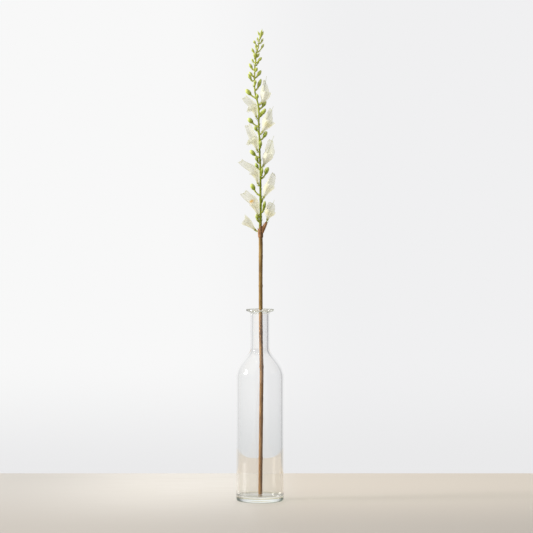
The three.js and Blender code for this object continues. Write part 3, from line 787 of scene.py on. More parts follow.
def petal_colour(tree, run, veins, spot):
    """Creamy white with fine darker veins, olive at the foot, and yellow or orange where marked."""
    cloud = noise(tree, object_point(tree), 170, 3)
    tube = blend(tree, band(tree, cloud, 0.35, 0.65), paint(254, 252, 238), paint(250, 246, 222))
    lip = blend(tree, band(tree, cloud, 0.3, 0.7), paint(254, 252, 232), paint(250, 247, 218))
    colour = blend(tree, band(tree, run, 0.5, 0.62), tube, lip)
    veined = band(tree, veins, 0.5, 0.72, 0.0, 0.3)
    colour = blend(tree, veined, colour, paint(216, 218, 180))
    at_foot = band(tree, run, 0.0, 0.26, 0.9, 0.0)
    colour = blend(tree, at_foot, colour, paint(196, 192, 104))
    colour = blend(tree, attribute(tree, "gold"), colour, paint(238, 228, 150))
    return blend(tree, spot, colour, paint(255, 192, 64))


def sheerness(tree, run, spot):
    """How much a petal lets through: more and more out over the lip, but little at its rim or where
    it is orange."""
    past_mouth = band(tree, run, 0.45, 0.62, 0.05, 0.44)
    sheer = calc(tree, "ADD", past_mouth, band(tree, run, 0.7, 1.0, 0.0, 0.26))
    sheer = calc(tree, "MULTIPLY", sheer, calc(tree, "SUBTRACT", 1.0, spot))
    return calc(tree, "MULTIPLY", sheer, band(tree, run, 0.94, 0.98, 1.0, 0.15))


def petal_finish(name, glow_share):
    """Thin soft petal, which glows with the light behind it and is partly sheer."""
    made, tree, shader = new_material(name, 0.5)
    uv, run = along_surface(tree)
    veins = noise(tree, vector_calc(tree, "MULTIPLY", uv, (34, 1.6, 0)), 1.0, 3, 0.55)
    spot = attribute(tree, "spot")
    colour = petal_colour(tree, run, veins, spot)
    tree.links.new(colour, shader.inputs["Base Color"])
    shader.inputs["Sheen Weight"].default_value = 0.1
    tree.links.new(band(tree, veins, 0.3, 0.7, 0.45, 0.6), shader.inputs["Roughness"])
    bump(tree, shader, veins, 0.00005, 0.6)
    glow = blend(tree, spot, blend(tree, 0.55, colour, paint(254, 253, 249)), paint(255, 196, 70))
    surface = let_light_through(tree, shader, glow, glow_share)
    clear = add(tree, "ShaderNodeBsdfTransparent", {"Color": (1, 1, 0.98, 1)})
    shares = {0: sheerness(tree, run, spot), 1: surface, 2: clear.outputs[0]}
    mixed = add(tree, "ShaderNodeMixShader", shares)
    soften_shade(tree, mixed.outputs[0], (0.96, 0.96, 0.93, 1))
    return made


def leaf_finish(name, deep, mid, pale):
    """Fresh green skin, paler towards the tip, along the veins and higher up the spike."""
    made, tree, shader = new_material(name, 0.48)
    shader.inputs["Specular IOR Level"].default_value = 0.3
    uv, run = along_surface(tree)
    veins = noise(tree, vector_calc(tree, "MULTIPLY", uv, (9, 1.2, 0)), 1.0, 2, 0.5)
    cloud = noise(tree, object_point(tree), 420, 3)
    colour = blend(tree, band(tree, cloud, 0.35, 0.65), deep, mid)
    colour = blend(tree, band(tree, veins, 0.45, 0.7, 0.0, 0.5), colour, pale)
    colour = blend(tree, band(tree, run, 0.45, 1.0, 0.0, 0.85), colour, pale)
    # Paler higher up the spike: partly the young growth's own colour, partly painted light against the
    # shade there.
    high_up = band(tree, height_of(tree), 0.56, 0.72, 0.0, 0.7)
    colour = blend(tree, high_up, colour, paint(228, 232, 124))
    tree.links.new(colour, shader.inputs["Base Color"])
    tree.links.new(band(tree, cloud, 0.3, 0.7, 0.4, 0.58), shader.inputs["Roughness"])
    bump(tree, shader, calc(tree, "ADD", veins, cloud), 0.0003, 0.6)
    let_light_through(tree, shader, colour, 0.18)
    return made


def speck_finish(name, dark, light, scale):
    """A plain natural colour with a fine grain, for the small parts inside a flower and the hairs."""
    made, tree, shader = new_material(name, 0.6)
    grain = noise(tree, object_point(tree), scale, 3)
    tree.links.new(ramp(tree, grain, [(0.35, dark), (0.65, light)]), shader.inputs["Base Color"])
    bump(tree, shader, grain, 0.0001, 0.6)
    return made


GLASS = glass_finish()
STEM_SKIN = stem_finish()
DRY_SHEATH = sheath_finish()
PETAL_OUTSIDE = petal_finish("petal_outside", 0.4)
PETAL_INSIDE = petal_finish("petal_inside", 0.45)
SEPAL, CALYX_SKIN, BUD_SKIN, STALK_SKIN = (
    leaf_finish(name + "_green", *(paint(*colour) for colour in colours))
    for name, *colours in [
        ("sepal", (132, 150, 34), (162, 178, 54), (206, 216, 108)),
        ("calyx", (158, 162, 54), (188, 190, 82), (222, 220, 134)),
        ("bud", (166, 184, 58), (196, 210, 88), (234, 240, 156)),
        ("stalk", (172, 178, 62), (198, 204, 88), (222, 226, 136)),
    ]
)
FILAMENT = speck_finish("filament", paint(226, 222, 178), paint(244, 242, 214), 1500)
STYLE = speck_finish("style", paint(188, 192, 138), paint(216, 218, 172), 1500)
POLLEN = speck_finish("pollen", paint(206, 158, 62), paint(242, 206, 110), 2600)
DOWN = speck_finish("fine_down", paint(214, 220, 186), paint(240, 242, 222), 2000)


# ---- Parts of the plant --------------------------------------------------------------------------

def stalk(name, points, radii, material, sides=10, ridges=5, ridge_depth=0.04, unevenness=0.12,
          grain=500.0):
    """A round stalk through points, with a radius at each."""
    obj = new_object(name, points, [], [(i, i + 1) for i in range(len(points) - 1)])
    store(obj, "thick", radii)
    return grow(obj, STALK_TREE, sides=sides, ridges=ridges, ridge_depth=ridge_depth,
                unevenness=unevenness, grain=grain, material=material)


def blade_rows(length, widths, reach, tip_curl, rows=10, columns=9):
    """Rows of a blade that grows up the Z axis on the +X side, hugging a body. At each share of the
    length, reach gives the body's radius and widths half the blade's width."""
    across = np.linspace(-1, 1, columns)
    belly, narrowest = 0.12 * MM, 0.6 * MM
    out = []
    for share in np.linspace(0, 1, rows):
        radius = reach(share) + tip_curl * smooth(0.6, 1, share) + belly * math.sin(math.pi * share)
        half = widths(share)
        bow = radius - 0.12 * half * (1 - across**2)
        angle = across * half / max(radius, narrowest)
        rise = length * share * np.ones(columns) - 0.06 * length * share * across**2
        outward = (radius + 0.1 * (radius - bow)) * np.cos(angle)
        out.append(np.stack([outward, radius * np.sin(angle), rise], -1))
    return np.array(out)


def whorl(name, rows, thickness, material, base, heading, lean, seed, start=0.0):
    """Five blades set round an axis from a foot."""
    blade = thicken(sheet_object(name, rows, [material], closed=False), thickness, offset=1)
    return grow(blade, WHORL_TREE, count=5, lean=lean, lean_spread=0.06, size_spread=0.12, seed=seed,
                start_turn=start, base=tuple(base), heading=tuple(heading), material=material)


def sepal_width(widest):
    """Gives a sepal's half width at each share of its length: broad low down, then drawn to a point."""
    def half_width(share):
        swelling = 0.55 + 0.45 * math.sin(math.pi * min(share * 1.25, 1))
        return widest * swelling * (1 - smooth(0.55, 1.0, share) * 0.97)
    return half_width


def turned_body(name, base, heading, radii, marks, material, sides=20, lobes=5, depth=0.05, seed=0):
    """A round body along a heading from a foot, with shallow lobes round it."""
    side = unit(np.cross(heading, UP + 0.01))
    above = np.cross(heading, side)
    angles = np.linspace(0, TURN, sides, endpoint=False)
    rows = []
    for radius, mark in zip(radii, marks):
        share = mark / marks[-1]
        twisted = lobes * (angles + 0.9 * share + seed)
        ring = radius * (1 + depth * math.sin(math.pi * share) * np.cos(twisted))
        spread = np.outer(np.cos(angles) * ring, side) + np.outer(np.sin(angles) * ring, above)
        rows.append(base + heading * mark + spread)
    return sheet_object(name, np.array(rows), [material], capped=True)


def leaf_rows(foot, heading, outward, length, width, curl, fold=0.25, rows=10, columns=7):
    """Rows of a small pointed leaf that starts along a heading and bends outwards, with its edges
    folded out from its middle."""
    across = np.cross(heading, outward)
    steps = np.linspace(-1, 1, columns)
    point = 0.01 * MM
    out = []
    for share in np.linspace(0, 1, rows):
        swelling = 0.55 + 0.45 * math.sin(math.pi * min(1.3 * share, 1))
        half = 0.5 * width * swelling * (1 - share**2.2) + point
        centre = foot + heading * length * share + outward * curl * length * share**2
        folded = np.outer(np.abs(steps) * half * fold, outward)
        out.append(centre + np.outer(steps * half, across) + folded)
    return np.array(out)


def leaf(name, rows, thickness, material):
    """A small thin leaf from its rows."""
    return thicken(sheet_object(name, rows, [material], closed=False), thickness, offset=0)


def bract(name, route, length, width):
    """A small pointed leaf under the foot of a stalk."""
    foot, heading = (x[0] for x in route.at(-0.6 * MM))
    level = unit(heading * LEVEL)
    tilt = 38
    way, below = tilted(level, tilt), tilted(level, tilt - 90)
    rows = leaf_rows(foot + below * 1.1 * STALK_RADIUS, way, below, length, width, curl=0.14)
    return leaf(name, rows, 0.25 * MM, SEPAL)


def bud_parts(name, route, length, width, seed, swelling=BUD_SWELLING):
    """A bud on its stalk: a curved stalk, a body with a blunt tip and five sepals round its foot."""
    total = route.length
    start = max(total - 1.3 * length, 0.8 * MM)
    marks = np.concatenate([[-SUNK], np.linspace(0, start, 7), [start + 0.1 * length]])
    points = route.at(marks)[0]
    thick = STALK_RADIUS * np.array([1.9, 1.5, 1.15, 1, 1, 1.05, 1.15, 1.3, 0.6])
    thick *= 0.7 + 0.3 * smooth(2.4 * MM, 5 * MM, width)
    neck = stalk(name + "_stalk", points, np.minimum(thick, 0.42 * width), STALK_SKIN)
    base = route.at(start)[0][0]
    tip = route.at(total)[0][0]
    heading = unit(tip - base)
    reach = np.linalg.norm(tip - base)
    shares = np.linspace(0, 1, 15)
    radii = np.interp(shares, *swelling) * PLUMPNESS * width / 2
    body = turned_body(name + "_body", base, heading, 0.93 * radii, shares * reach, BUD_SKIN, seed=seed)
    young = 1 - smooth(4.0 * MM, 6.5 * MM, width)
    cover = 0.46 + 0.3 * young

    def snug(share):
        return float(np.interp(cover * share, shares, radii)) + 0.1 * MM

    rows = blade_rows(cover * reach, sepal_width(0.36 * width), snug, 0.12 * MM)
    sepals = whorl(name + "_sepals", rows, 0.14 * MM, SEPAL, base, heading, 0.02, seed, 0.7 * seed)
    return [neck, body, sepals]


def bud_ends(node):
    """A packed bud's root and tip, and all its corners."""
    corners = points_of(node)
    middle = np.array([stem_at(z) for z in corners[:, 2]])
    nearest = corners[np.argsort(np.linalg.norm(corners - middle, axis=1))[:8]]
    root = nearest.mean(0)
    tip = corners[np.argmax(np.linalg.norm(corners - root, axis=1))]
    return root, tip, corners


def bud_tilts(out, up):
    """How steeply a bud's stalk leaves the stem, and how steeply its bud stands."""
    leaning = math.degrees(math.atan2(up, out))
    return 0.6 * leaning, min(leaning + 8, 82)


def bud_route(root, tip):
    """A curved path from the stem's skin to a bud's tip."""
    offset = tip - stem_at(root[2])
    outward = unit(offset * LEVEL)
    leave, arrive = bud_tilts(math.hypot(offset[0], offset[1]), offset[2])
    return bezier(root, tilted(outward, leave), tilted(outward, arrive), tip)


def measured_bud(route, corners):
    """A packed bud's own length and width. The ring farthest from its line is its belly, which lies at
    a fixed share of that length."""
    marks = np.linspace(0, route.length, 160)
    line = route.at(marks)[0]
    gaps = np.linalg.norm(corners[:, None] - line[None], axis=2)
    farthest = gaps.min(1).argmax()
    widest = marks[gaps[farthest].argmin()]
    belly = 0.4
    start = (widest - belly * route.length) / (1 - belly)
    return route.length - max(start, 0.5 * MM), 2 * gaps[farthest].min()


def twin_buds(node, root):
    """The path, length and width of each of two buds on one stalk."""
    outward = unit((root - stem_at(root[2])) * LEVEL)
    turn = math.degrees(math.atan2(outward[1], outward[0]))
    radius = 0.55 * MM
    buds = []
    for (out, up), length, width in TWINS[node]:
        leave, arrive = bud_tilts(out, up)
        route = stalk_route(root[2], turn, out * MM, up * MM, radius, leave, arrive)
        buds.append((route, length * MM, width * MM))
    return buds


def make_bud(node, seed):
    """A bud, or two on one stalk, with a bract below."""
    root, tip, corners = bud_ends(node)
    if node in TWINS:
        buds = twin_buds(node, root)
    else:
        route = bud_route(root, tip)
        buds = [(route, *measured_bud(route, corners))]
    parts = []
    for k, (route, length, width) in enumerate(buds):
        parts += bud_parts(f"{node}_{k}", route, length, width, seed + 40 * k)
    lowest_route, _, width = buds[-1]
    parts.append(bract(node + "_bract", lowest_route, 4.6 * MM + 0.2 * width, 2.5 * MM))
    finished(join("piece_" + node, parts), "bud", node)


# ---- Flowers -------------------------------------------------------------------------------------

def flower_route(flower, index):
    """The path through a flower from its foot to the middle of its mouth."""
    out, up = (x * MM for x in flower["throat"])
    route = stalk_route(flower["at"] * MM, flower["turn"], out, up, PEDICEL_RADIUS, flower["leave"],
                        flower["mouth"])
    if index != BRANCH_FLOWER:
        return route
    growing = unit(BRANCH_TO - BRANCH_FROM)
    end, heading = route.at(route.length)
    return bezier(BRANCH_TO + growing * CLEARANCE, growing, heading[0], end[0])


def tube_swelling(flower, share):
    """How far the tube has opened, from its foot at 0 to its mouth at 1."""
    return flower["full"] * np.interp(share, *TUBE_SWELLING) + (1 - flower["full"]) * share


def petal_margin(lip, blunt, gap, ragged, rng):
    """How far the rim is drawn out round the mouth: two lobes above and three below, down to the gap
    between the lips."""
    upper = np.cos(lip) >= 0
    notch = (1 + np.cos(np.where(upper, 4 * lip, 6 * lip + math.pi))) / 2
    height = np.abs(np.cos(lip))
    broad = np.where(upper & blunt, smooth(-0.05, 0.75, height), height**0.6)
    depth = np.where(upper, 0.09, 0.2)
    margin = gap + (1 - gap) * broad * (1 - depth * notch**1.4)
    teeth = sum(np.sin(k * lip + rng.uniform(0, TURN)) / k**0.35 for k in (11, 19, 31))
    return margin * (1 + ragged * teeth * broad), notch


def tube_rows(flower, route, side, angles, lip, notch):
    """Rings up the tube: a waist near its foot, a pouch underneath and pleats that end at the
    notches."""
    wide = flower["wide"] * MM
    below = np.clip(-np.cos(lip), 0, 1)
    rows = []
    for share in np.linspace(0, 1, TUBE_ROWS):
        radius = TUBE_FOOT + (wide - TUBE_FOOT) * tube_swelling(flower, share)
        pleat = 1 - 0.075 * notch**3 * smooth(0.08, 0.55, share)
        pouch = 1 + 0.1 * below * math.sin(math.pi * share) ** 2
        waist = 1 - 0.05 * math.exp(-((share - 0.2) / 0.09) ** 2)
        mark = TUBE_FROM + share * (route.length - TUBE_FROM)
        point, _, above, level = route.across(mark, side)
        outward = np.outer(np.cos(angles), above[0]) - np.outer(np.sin(angles), level[0])
        rows.append(point + outward * (radius * pleat * pouch * waist)[:, None])
    return rows


def ruffle(lip, now, margin, waves):
    """How far the lips wave out of their own surface, some way along them."""
    rise = 0.5 * MM * now**1.6 * np.sin(7 * lip + waves[0] + 2.5 * now) * margin
    rise += 0.3 * MM * now**2 * np.sin(15 * lip + waves[1] - 4 * now)
    rise += 0.35 * MM * now * np.sin(3 * lip + waves[2] + 5 * now)
    return rise


def lip_directions(middle, roll, above, level):
    """The way from the mouth's centre to the middle of each column's lip, and the way across it."""
    way = middle - roll
    mids = np.outer(np.cos(way), above) - np.outer(np.sin(way), level)
    sides = -np.outer(np.sin(way), above) - np.outer(np.cos(way), level)
    return mids, sides


def turned_forward(run, sides, off_middle, wide, widening):
    """How far each column swings when the lips turn their faces to the front."""
    shown = unit(np.cross(run, FRONT))
    shown *= np.sign(np.sum(shown * sides, axis=1))[:, None]
    width = np.sin(off_middle) * wide * (1 + widening)
    return shown * width[:, None] - sides * (np.sin(off_middle) * wide)[:, None]


def lip_rows(flower, route, side, lip, margin, rim, rng):
    """Rows from the rim out over both lips, which lean, flatten, widen or narrow, ruffle and curl."""
    wide = flower["wide"] * MM
    upper = np.cos(lip) >= 0
    _, heading, above, level = (x[0] for x in route.across(route.length, side))
    length, tilt, end_width = (np.where(upper, a, b) for a, b in zip(flower["upper"], flower["lower"]))
    length = length * MM * margin
    lean = np.radians(tilt - flower["mouth"]) * smooth(0, 0.4, np.abs(np.cos(lip)))
    curl = np.where(upper, 0.25, 0.5)
    faced = np.where(upper, *flower.get("faced", (0, 0)))
    middle = np.where(upper, 0, math.pi)
    mids, sides = lip_directions(middle, math.radians(flower["roll"]), above, level)
    off_middle = lip - middle
    spread = end_width - 1
    waves = [rng.uniform(0, TURN) for _ in range(3)]
    flatness = 0.45
    centre = np.zeros((PETAL_COLUMNS, 3))
    rows = []
    steps = np.linspace(0, 1, LIP_ROWS + 1)
    for before, now in zip(steps[:-1], steps[1:]):
        turn = lean * smooth(0, 0.22, now) + curl * smooth(0.6, 1.05, now)
        run = np.cos(turn)[:, None] * heading + np.sin(turn)[:, None] * above
        centre = centre + run * (length * (now - before))[:, None]
        opened = smooth(0, 0.9, now) * margin
        inward = (1 - np.cos(off_middle)) * flatness * opened * wide
        twist = faced * smooth(0, 0.55, now)
        wider = np.sin(off_middle) * spread * opened * wide * (1 - twist)
        swing = turned_forward(run, sides, off_middle, wide, spread * opened)
        row = rim + centre + mids * inward[:, None] + sides * wider[:, None] + swing * twist[:, None]
        lift = np.cross(run, sides) * np.where(upper, 1, -1)[:, None]
        rows.append(row + unit(lift) * ruffle(lip, now, margin, waves)[:, None])
    return rows


def corolla_sheet(flower, route, side, seed):
    """Rows of points up the tube and on over both lips, and how far round each column is."""
    rng = np.random.default_rng(seed)
    angles = np.linspace(0, TURN, PETAL_COLUMNS, endpoint=False)
    lip = angles + math.radians(flower["roll"])
    margin, notch = petal_margin(lip, flower["roll"] < 0, flower.get("gap", 0.1), 0.035, rng)
    rows = tube_rows(flower, route, side, angles, lip, notch)
    rows += lip_rows(flower, route, side, lip, margin, rows[-1], rng)
    return np.array(rows), lip


def patch_marks(flower, lip):
    """Where the inside is yellow, and where it is deep orange, for every corner of the sheet."""
    lip_run = 1 + np.linspace(0, 1, LIP_ROWS + 1)[1:]
    run = np.concatenate([np.linspace(0, 1, TUBE_ROWS), lip_run])[:, None]
    below = smooth(-0.2, 0.9, -np.cos(lip))[None, :]
    gold = flower["gold"] * np.exp(-((run - 0.78) / 0.26) ** 2) * (0.35 + 0.65 * below)
    spot = np.zeros_like(gold)
    if "spot" in flower:
        place, turn = flower["spot"]
        # As an angle between -180 and 180 degrees.
        away = np.angle(np.exp(1j * (lip - turn)))
        spot = np.exp(-((run - place) / 0.09) ** 2) * np.exp(-(away / 0.5) ** 2)
    return gold, spot


def style_end(flower, path, heading, above, outward):
    """The end of a style, standing out beyond the upper lip."""
    tilt = math.radians(flower["upper"][1] - flower["mouth"])
    run = math.cos(tilt) * heading + math.sin(tilt) * above
    reach = (flower["upper"][0] + flower["style"]) * MM
    more = np.linspace(0.1, 1, 12)[:, None]
    return path[-1] + run * reach * more + outward * 1.6 * MM * more**2


def knobs(name, tip, way, is_style, rng):
    """The two pollen sacs at the end of a stamen, or the one knob at the end of a style."""
    lobes = [(0.0, 0.34)] if is_style else [(-1, 0.42), (1, 0.42)]
    length = 2.4 if is_style else 4.2
    cross = unit(np.cross(way, UP + 0.2))
    parts = []
    for shift, radius in lobes:
        foot = tip + cross * shift * 0.36 * MM - way * 0.4 * MM
        size = radius * MM * rng.uniform(0.9, 1.15)
        marks = np.linspace(0, 1, 8) * size * length
        radii = size * np.sin(np.linspace(0.2, math.pi - 0.1, 8))
        parts.append(turned_body(f"{name}_{shift}", foot, unit(way + cross * 0.25 * shift), radii,
                                 marks, POLLEN, sides=10, lobes=2, depth=0.12))
    return parts


def stamens(name, flower, route, side, seed):
    """Four stamens under the upper lip and a longer style."""
    rng = np.random.default_rng(seed)
    wide = flower["wide"] * MM
    roll = math.radians(flower["roll"])
    parts = []
    for k, (angle, end) in enumerate(STAMENS):
        is_style = k == len(STAMENS) - 1
        marks = np.linspace(0.12, end, 12)
        along = TUBE_FROM + marks * (route.length - TUBE_FROM)
        point, heading, above, level = route.across(along, side)
        turned = angle - roll
        outward = above * math.cos(turned) - level * math.sin(turned)
        inner = TUBE_FOOT + (wide - TUBE_FOOT) * tube_swelling(flower, marks)
        path = point + outward * (inner * 0.55)[:, None]
        if is_style and flower["style"]:
            end_part = style_end(flower, path, heading[-1], above[-1], outward[-1])
            path = np.concatenate([path, end_part])
        radius, material = (0.36, STYLE) if is_style else (0.3, FILAMENT)
        thick = radius * MM * np.linspace(1.2, 0.7, len(path))
        parts.append(stalk(f"{name}_{k}", path, thick, material, sides=6, ridge_depth=0.0))
        parts += knobs(f"{name}_{k}", path[-1], unit(path[-1] - path[-2]), is_style, rng)
    return parts


def make_calyx(name, route, seed):
    """A flower's stalk with five sepals and a bract."""
    marks = np.array([-1.1, 0, 0.8, 1.6, 2.2, 2.8, 3.4]) * MM
    thick = np.array([1.5, 1.25, 0.95, 0.9, 1.1, 1.45, 0.9]) * MM
    foot = stalk(name + "_pedicel", route.at(marks)[0], thick, STALK_SKIN)
    base, heading = (x[0] for x in route.at(PEDICEL_LENGTH))

    def reach(share):
        return float(np.interp(share, [0, 0.3, 0.6, 1], [1.0, 1.6, 1.85, 2.2])) * MM

    blades = blade_rows(3.8 * MM, sepal_width(1.25 * MM), reach, 0.3 * MM)
    sepals = whorl(name + "_sepals", blades, 0.16 * MM, CALYX_SKIN, base, heading, 0.03, seed)
    leaflet = bract(name + "_bract", route, 4.6 * MM, 2.0 * MM)
    calyx = join("piece_" + name + "_calyx", [foot, sepals, leaflet])
    finished(calyx, "calyx", name + "_calyx")


def make_flower(index, flower):
    """An open flower: its petals, what stands inside them, and its calyx."""
    name = f"flower_{index + 1:02d}"
    route = flower_route(flower, index)
    side = np.cross(UP, facing(flower["turn"]))
    rows, lip = corolla_sheet(flower, route, side, 100 + index)
    sheet = sheet_object(name + "_sheet", rows, [PETAL_OUTSIDE, PETAL_INSIDE])
    for mark, values in zip(("gold", "spot"), patch_marks(flower, lip)):
        store(sheet, mark, values)
    corolla = join("piece_" + name + "_corolla", [thicken(sheet, PETAL_WALL, inner_material=1)])
    finished(corolla, "petal", name + "_corolla")
    inside = stamens(name + "_stamen", flower, route, side, 300 + index)
    finished(join("piece_" + name + "_stamens", inside), "petal")
    make_calyx(name, route, 20 + index)


# ---- Stem, scales, sheath and growing tip --------------------------------------------------------

def sideways(corner):
    """How far to the right of the stem's centre line a corner lies, as a share of its radius."""
    return (corner.x - stem_at(corner.z)[0]) / stem_radius(corner.z)


def stem_tube():
    """The stem's length with its knots, its joints below the flowers and its painted-shade right side."""
    low, high = STEM_CENTRES[0, 2], STEM_CENTRES[-1, 2]
    step, first = 1.4 * MM, 0.25 * MM
    heights = np.concatenate([[low, low + first], np.arange(low + step, high, step), [high]])
    points = np.array([stem_at(z) for z in heights])
    for k in (0, 1):
        points[:, k] = np.convolve(np.pad(points[:, k], 6, "edge"), np.ones(13) / 13, "valid")
    woody = np.interp(heights, [0.4, 0.43], [1.12, 1.0])
    radii = np.array([stem_radius(z) for z in heights]) * woody
    joints = [(at * MM, rise, 2.2 * MM) for at, rise in KNOTS]
    joints += [(flower["at"] * MM, 0.22, 1.6 * MM) for flower in FLOWERS[2:]]
    for at, rise, spread in joints:
        radii *= 1 + rise * np.exp(-((heights - at) / spread) ** 2)
    radii[0] *= 0.93
    stem = stalk("stem_tube", points, radii, STEM_SKIN, sides=28, ridges=7, ridge_depth=0.022,
                 unevenness=0.16, grain=240.0)
    store(stem, "side", [sideways(corner.co) for corner in stem.data.vertices])
    return stem


def make_stem():
    """The stem with its scales, and fine down on its green part."""
    stem = stem_tube()
    parts = [stem]
    for at, turn, length, width in SCALES:
        outward = facing(turn)
        foot = stem_at(at * MM) + outward * stem_radius(at * MM) * 0.92
        rows = leaf_rows(foot, unit(UP + 0.25 * outward), outward, length * MM, width * MM, 0.25)
        parts.append(leaf(f"scale_{at}", rows, 0.3 * MM, SEPAL))
    corners = [vertex.co for vertex in stem.data.vertices]
    faces = [tuple(polygon.vertices) for polygon in stem.data.polygons]
    down = new_object("down_base", corners, faces)
    sizes = {"density": 520000.0, "length": 0.55 * MM, "thickness": 0.022 * MM, "seed": 5,
             "from": DOWN_FROM}
    parts.append(grow(down, DOWN_TREE, material=DOWN, **sizes))
    finished(join("piece_stem", parts), "stem", "stem")


def make_collar():
    """The fibrous collar round the stem, with a torn edge that slants down to the left."""
    rng = np.random.default_rng(8)
    angles = np.linspace(0, TURN, 48, endpoint=False)
    torn = 1 + sum(0.035 * np.sin(k * angles + rng.uniform(0, TURN)) for k in (1, 3, 8, 13))
    top = SHEATH_TO - 3.8 * MM * (1 - np.cos(angles)) / 2
    girth = ([0, 0.06, 0.2, 0.6, 0.9, 1], [3.1, 3.7, 4.0, 4.15, 3.7, 3.2])
    rows = []
    for share in np.linspace(0, 1, 16):
        height = SHEATH_FROM + share * (top - SHEATH_FROM) * np.where(share > 0.5, torn, 1)
        radius = np.interp(share, *girth) * MM
        ribbed = radius * (1 + 0.035 * np.sin(9 * angles + 2 * share) + 0.02 * np.sin(21 * angles))
        middle = np.array([stem_at(z) for z in height])
        rows.append(middle + np.stack([ribbed * np.cos(angles), ribbed * np.sin(angles), 0 * angles], -1))
    collar = thicken(sheet_object("collar", np.array(rows), [DRY_SHEATH]), 0.5 * MM)
    store(collar, "side", [sideways(corner.co) for corner in collar.data.vertices])
    return collar


def make_branch():
    """The short dry branch that carries a flower."""
    foot = stem_at(BRANCH_FROM[2] - 5 * MM)
    shares = np.linspace(0, 1, 22)
    line = foot + (BRANCH_TO - foot) * shares[:, None]
    line[:, 0] += 0.35 * MM * np.sin(shares * math.pi)
    thick = np.interp(shares, [0, 0.2, 0.5, 0.85, 0.97, 1], [3.2, 3.3, 2.9, 2.4, 2.0, 1.5]) * MM
    return stalk("branch", line, thick, DRY_SHEATH, sides=20, ridges=9, ridge_depth=0.05, unevenness=0.3)


def make_sheath():
    """A torn collar, a short branch, a flap standing up from it, and loose strips round the stem."""
    collar = make_collar()
    branch = make_branch()
    strips = [(BRANCH_FROM, unit(FLAP_TO - BRANCH_FROM), facing(330), 13.4, 3.2, 0.06)]
    for height, out, turn, lean, length, width, curl in LOOSE_STRIPS:
        base = stem_at(height * MM) + facing(turn) * out * MM
        strips.append((base, unit(UP + lean * facing(turn)), facing(turn), length, width, curl))
    flaps = []
    for k, (base, heading, outward, length, width, curl) in enumerate(strips):
        rows = leaf_rows(base, heading, outward, length * MM, width * MM, curl, fold=-0.3)
        flaps.append(leaf(f"strip_{k}", rows, 0.35 * MM, DRY_SHEATH))
    finished(join("piece_sheath", [collar, branch, *flaps]), "sheath", "sheath")


def make_growing_tip():
    """The smallest closed buds, in a tuft at the top."""
    parts = []
    for k, (foot, tip, length, width) in enumerate(TIP_BUDS):
        line = Route(np.linspace(np.array(foot) * MM, np.array(tip) * MM, 12))
        fitting = min(length * MM, line.length / 1.32)
        parts += bud_parts(f"tip_{k}", line, fitting, width * MM, 60 + k, TIP_SWELLING)
    finished(join("piece_growing_tip", parts), "bud", "growing_tip")


# ---- Vase ----------------------------------------------------------------------------------------

def curve_points(*corners, steps=14):
    """Points along a quadratic or cubic curve through its corners, without the first one."""
    corners = np.array(corners, float)
    t = np.linspace(0, 1, steps + 1)[1:, None]
    degree = len(corners) - 1
    return sum(math.comb(degree, k) * (1 - t) ** (degree - k) * t**k * c for k, c in enumerate(corners))


def outside_section(start):
    """From the edge of the underside up the body and the neck, and round the beaded lip."""
    bead = np.array([LIP_RADIUS - LIP_BEAD, VASE_HEIGHT - LIP_BEAD])
    turns = np.radians(np.linspace(-100, 95, 22))
    round_lip = bead + LIP_BEAD * np.stack([np.cos(turns), np.sin(turns)], -1)
    body, neck = BODY_RADIUS, NECK_RADIUS
    return [
        curve_points(start, (body, 0), (body, FOOT_ROUND)),
        np.linspace((body, FOOT_ROUND), (body, SHOULDER_FROM), 30)[1:],
        curve_points((body, SHOULDER_FROM), (body, SHOULDER_FROM + SHOULDER_EASE[0]),
                     (neck, SHOULDER_TO - SHOULDER_EASE[1]), (neck, SHOULDER_TO), steps=28),
        np.linspace((neck, SHOULDER_TO), (neck, LIP_FROM), 12)[1:],
        curve_points((neck, LIP_FROM), (neck, LIP_FROM + 4 * MM), round_lip[0]),
        round_lip[1:],
    ]


def inside_section(start):
    """From the lip down the bore and the inside of the body to the middle of the floor."""
    bore = NECK_RADIUS - GLASS_WALL
    inside = BODY_RADIUS - GLASS_WALL
    throat = VASE_HEIGHT - 4 * MM
    neck_end, body_top = SHOULDER_TO - 2 * MM, SHOULDER_FROM + MM
    corner = inside - FLOOR_ROUND
    return [
        curve_points(start, (bore + 0.4 * MM, VASE_HEIGHT - 0.2 * MM), (bore, throat)),
        np.linspace((bore, throat), (bore, neck_end), 12)[1:],
        curve_points((bore, neck_end), (bore, SHOULDER_TO - INNER_EASE[1]),
                     (inside, SHOULDER_FROM + INNER_EASE[0]), (inside, body_top), steps=28),
        np.linspace((inside, body_top), (inside, GLASS_FLOOR + FLOOR_ROUND), 30)[1:],
        curve_points((inside, GLASS_FLOOR + FLOOR_ROUND), (inside, GLASS_FLOOR), (corner, GLASS_FLOOR)),
        np.linspace((corner, GLASS_FLOOR), (6 * MM, GLASS_FLOOR), 5)[1:],
        [(0, GLASS_FLOOR)],
    ]


def vase_section():
    """Half of the bottle's section as radius and height, from the middle of its hollowed underside
    round to the middle of its floor."""
    stand = BODY_RADIUS - FOOT_ROUND
    hollow, hollow_end, edge = 1.4 * MM, (stand - 4 * MM, 0.9 * MM), (stand - MM, 0)
    under = [
        [(0, hollow)],
        np.linspace((4 * MM, hollow), hollow_end, 6),
        curve_points(hollow_end, (stand - 1.5 * MM, 0.6 * MM), edge),
    ]
    outside = outside_section((stand, 0))
    return np.concatenate(under + outside + inside_section(outside[-1][-1]))


def make_vase():
    """The bottle, its section turned round a hub in its middle."""
    hub = 0.5 * MM
    section = vase_section()[::-1]
    corners = [(radius - hub, -height, 0.0) for radius, height in section]
    line = new_object("piece_vase", corners, [], [(i, i + 1) for i in range(len(corners) - 1)])
    grow(line, REVOLVE_TREE, segments=144, hub=hub, material=GLASS)
    finished(line, "glass", "vase")


# ---- Stage, light and camera ---------------------------------------------------------------------

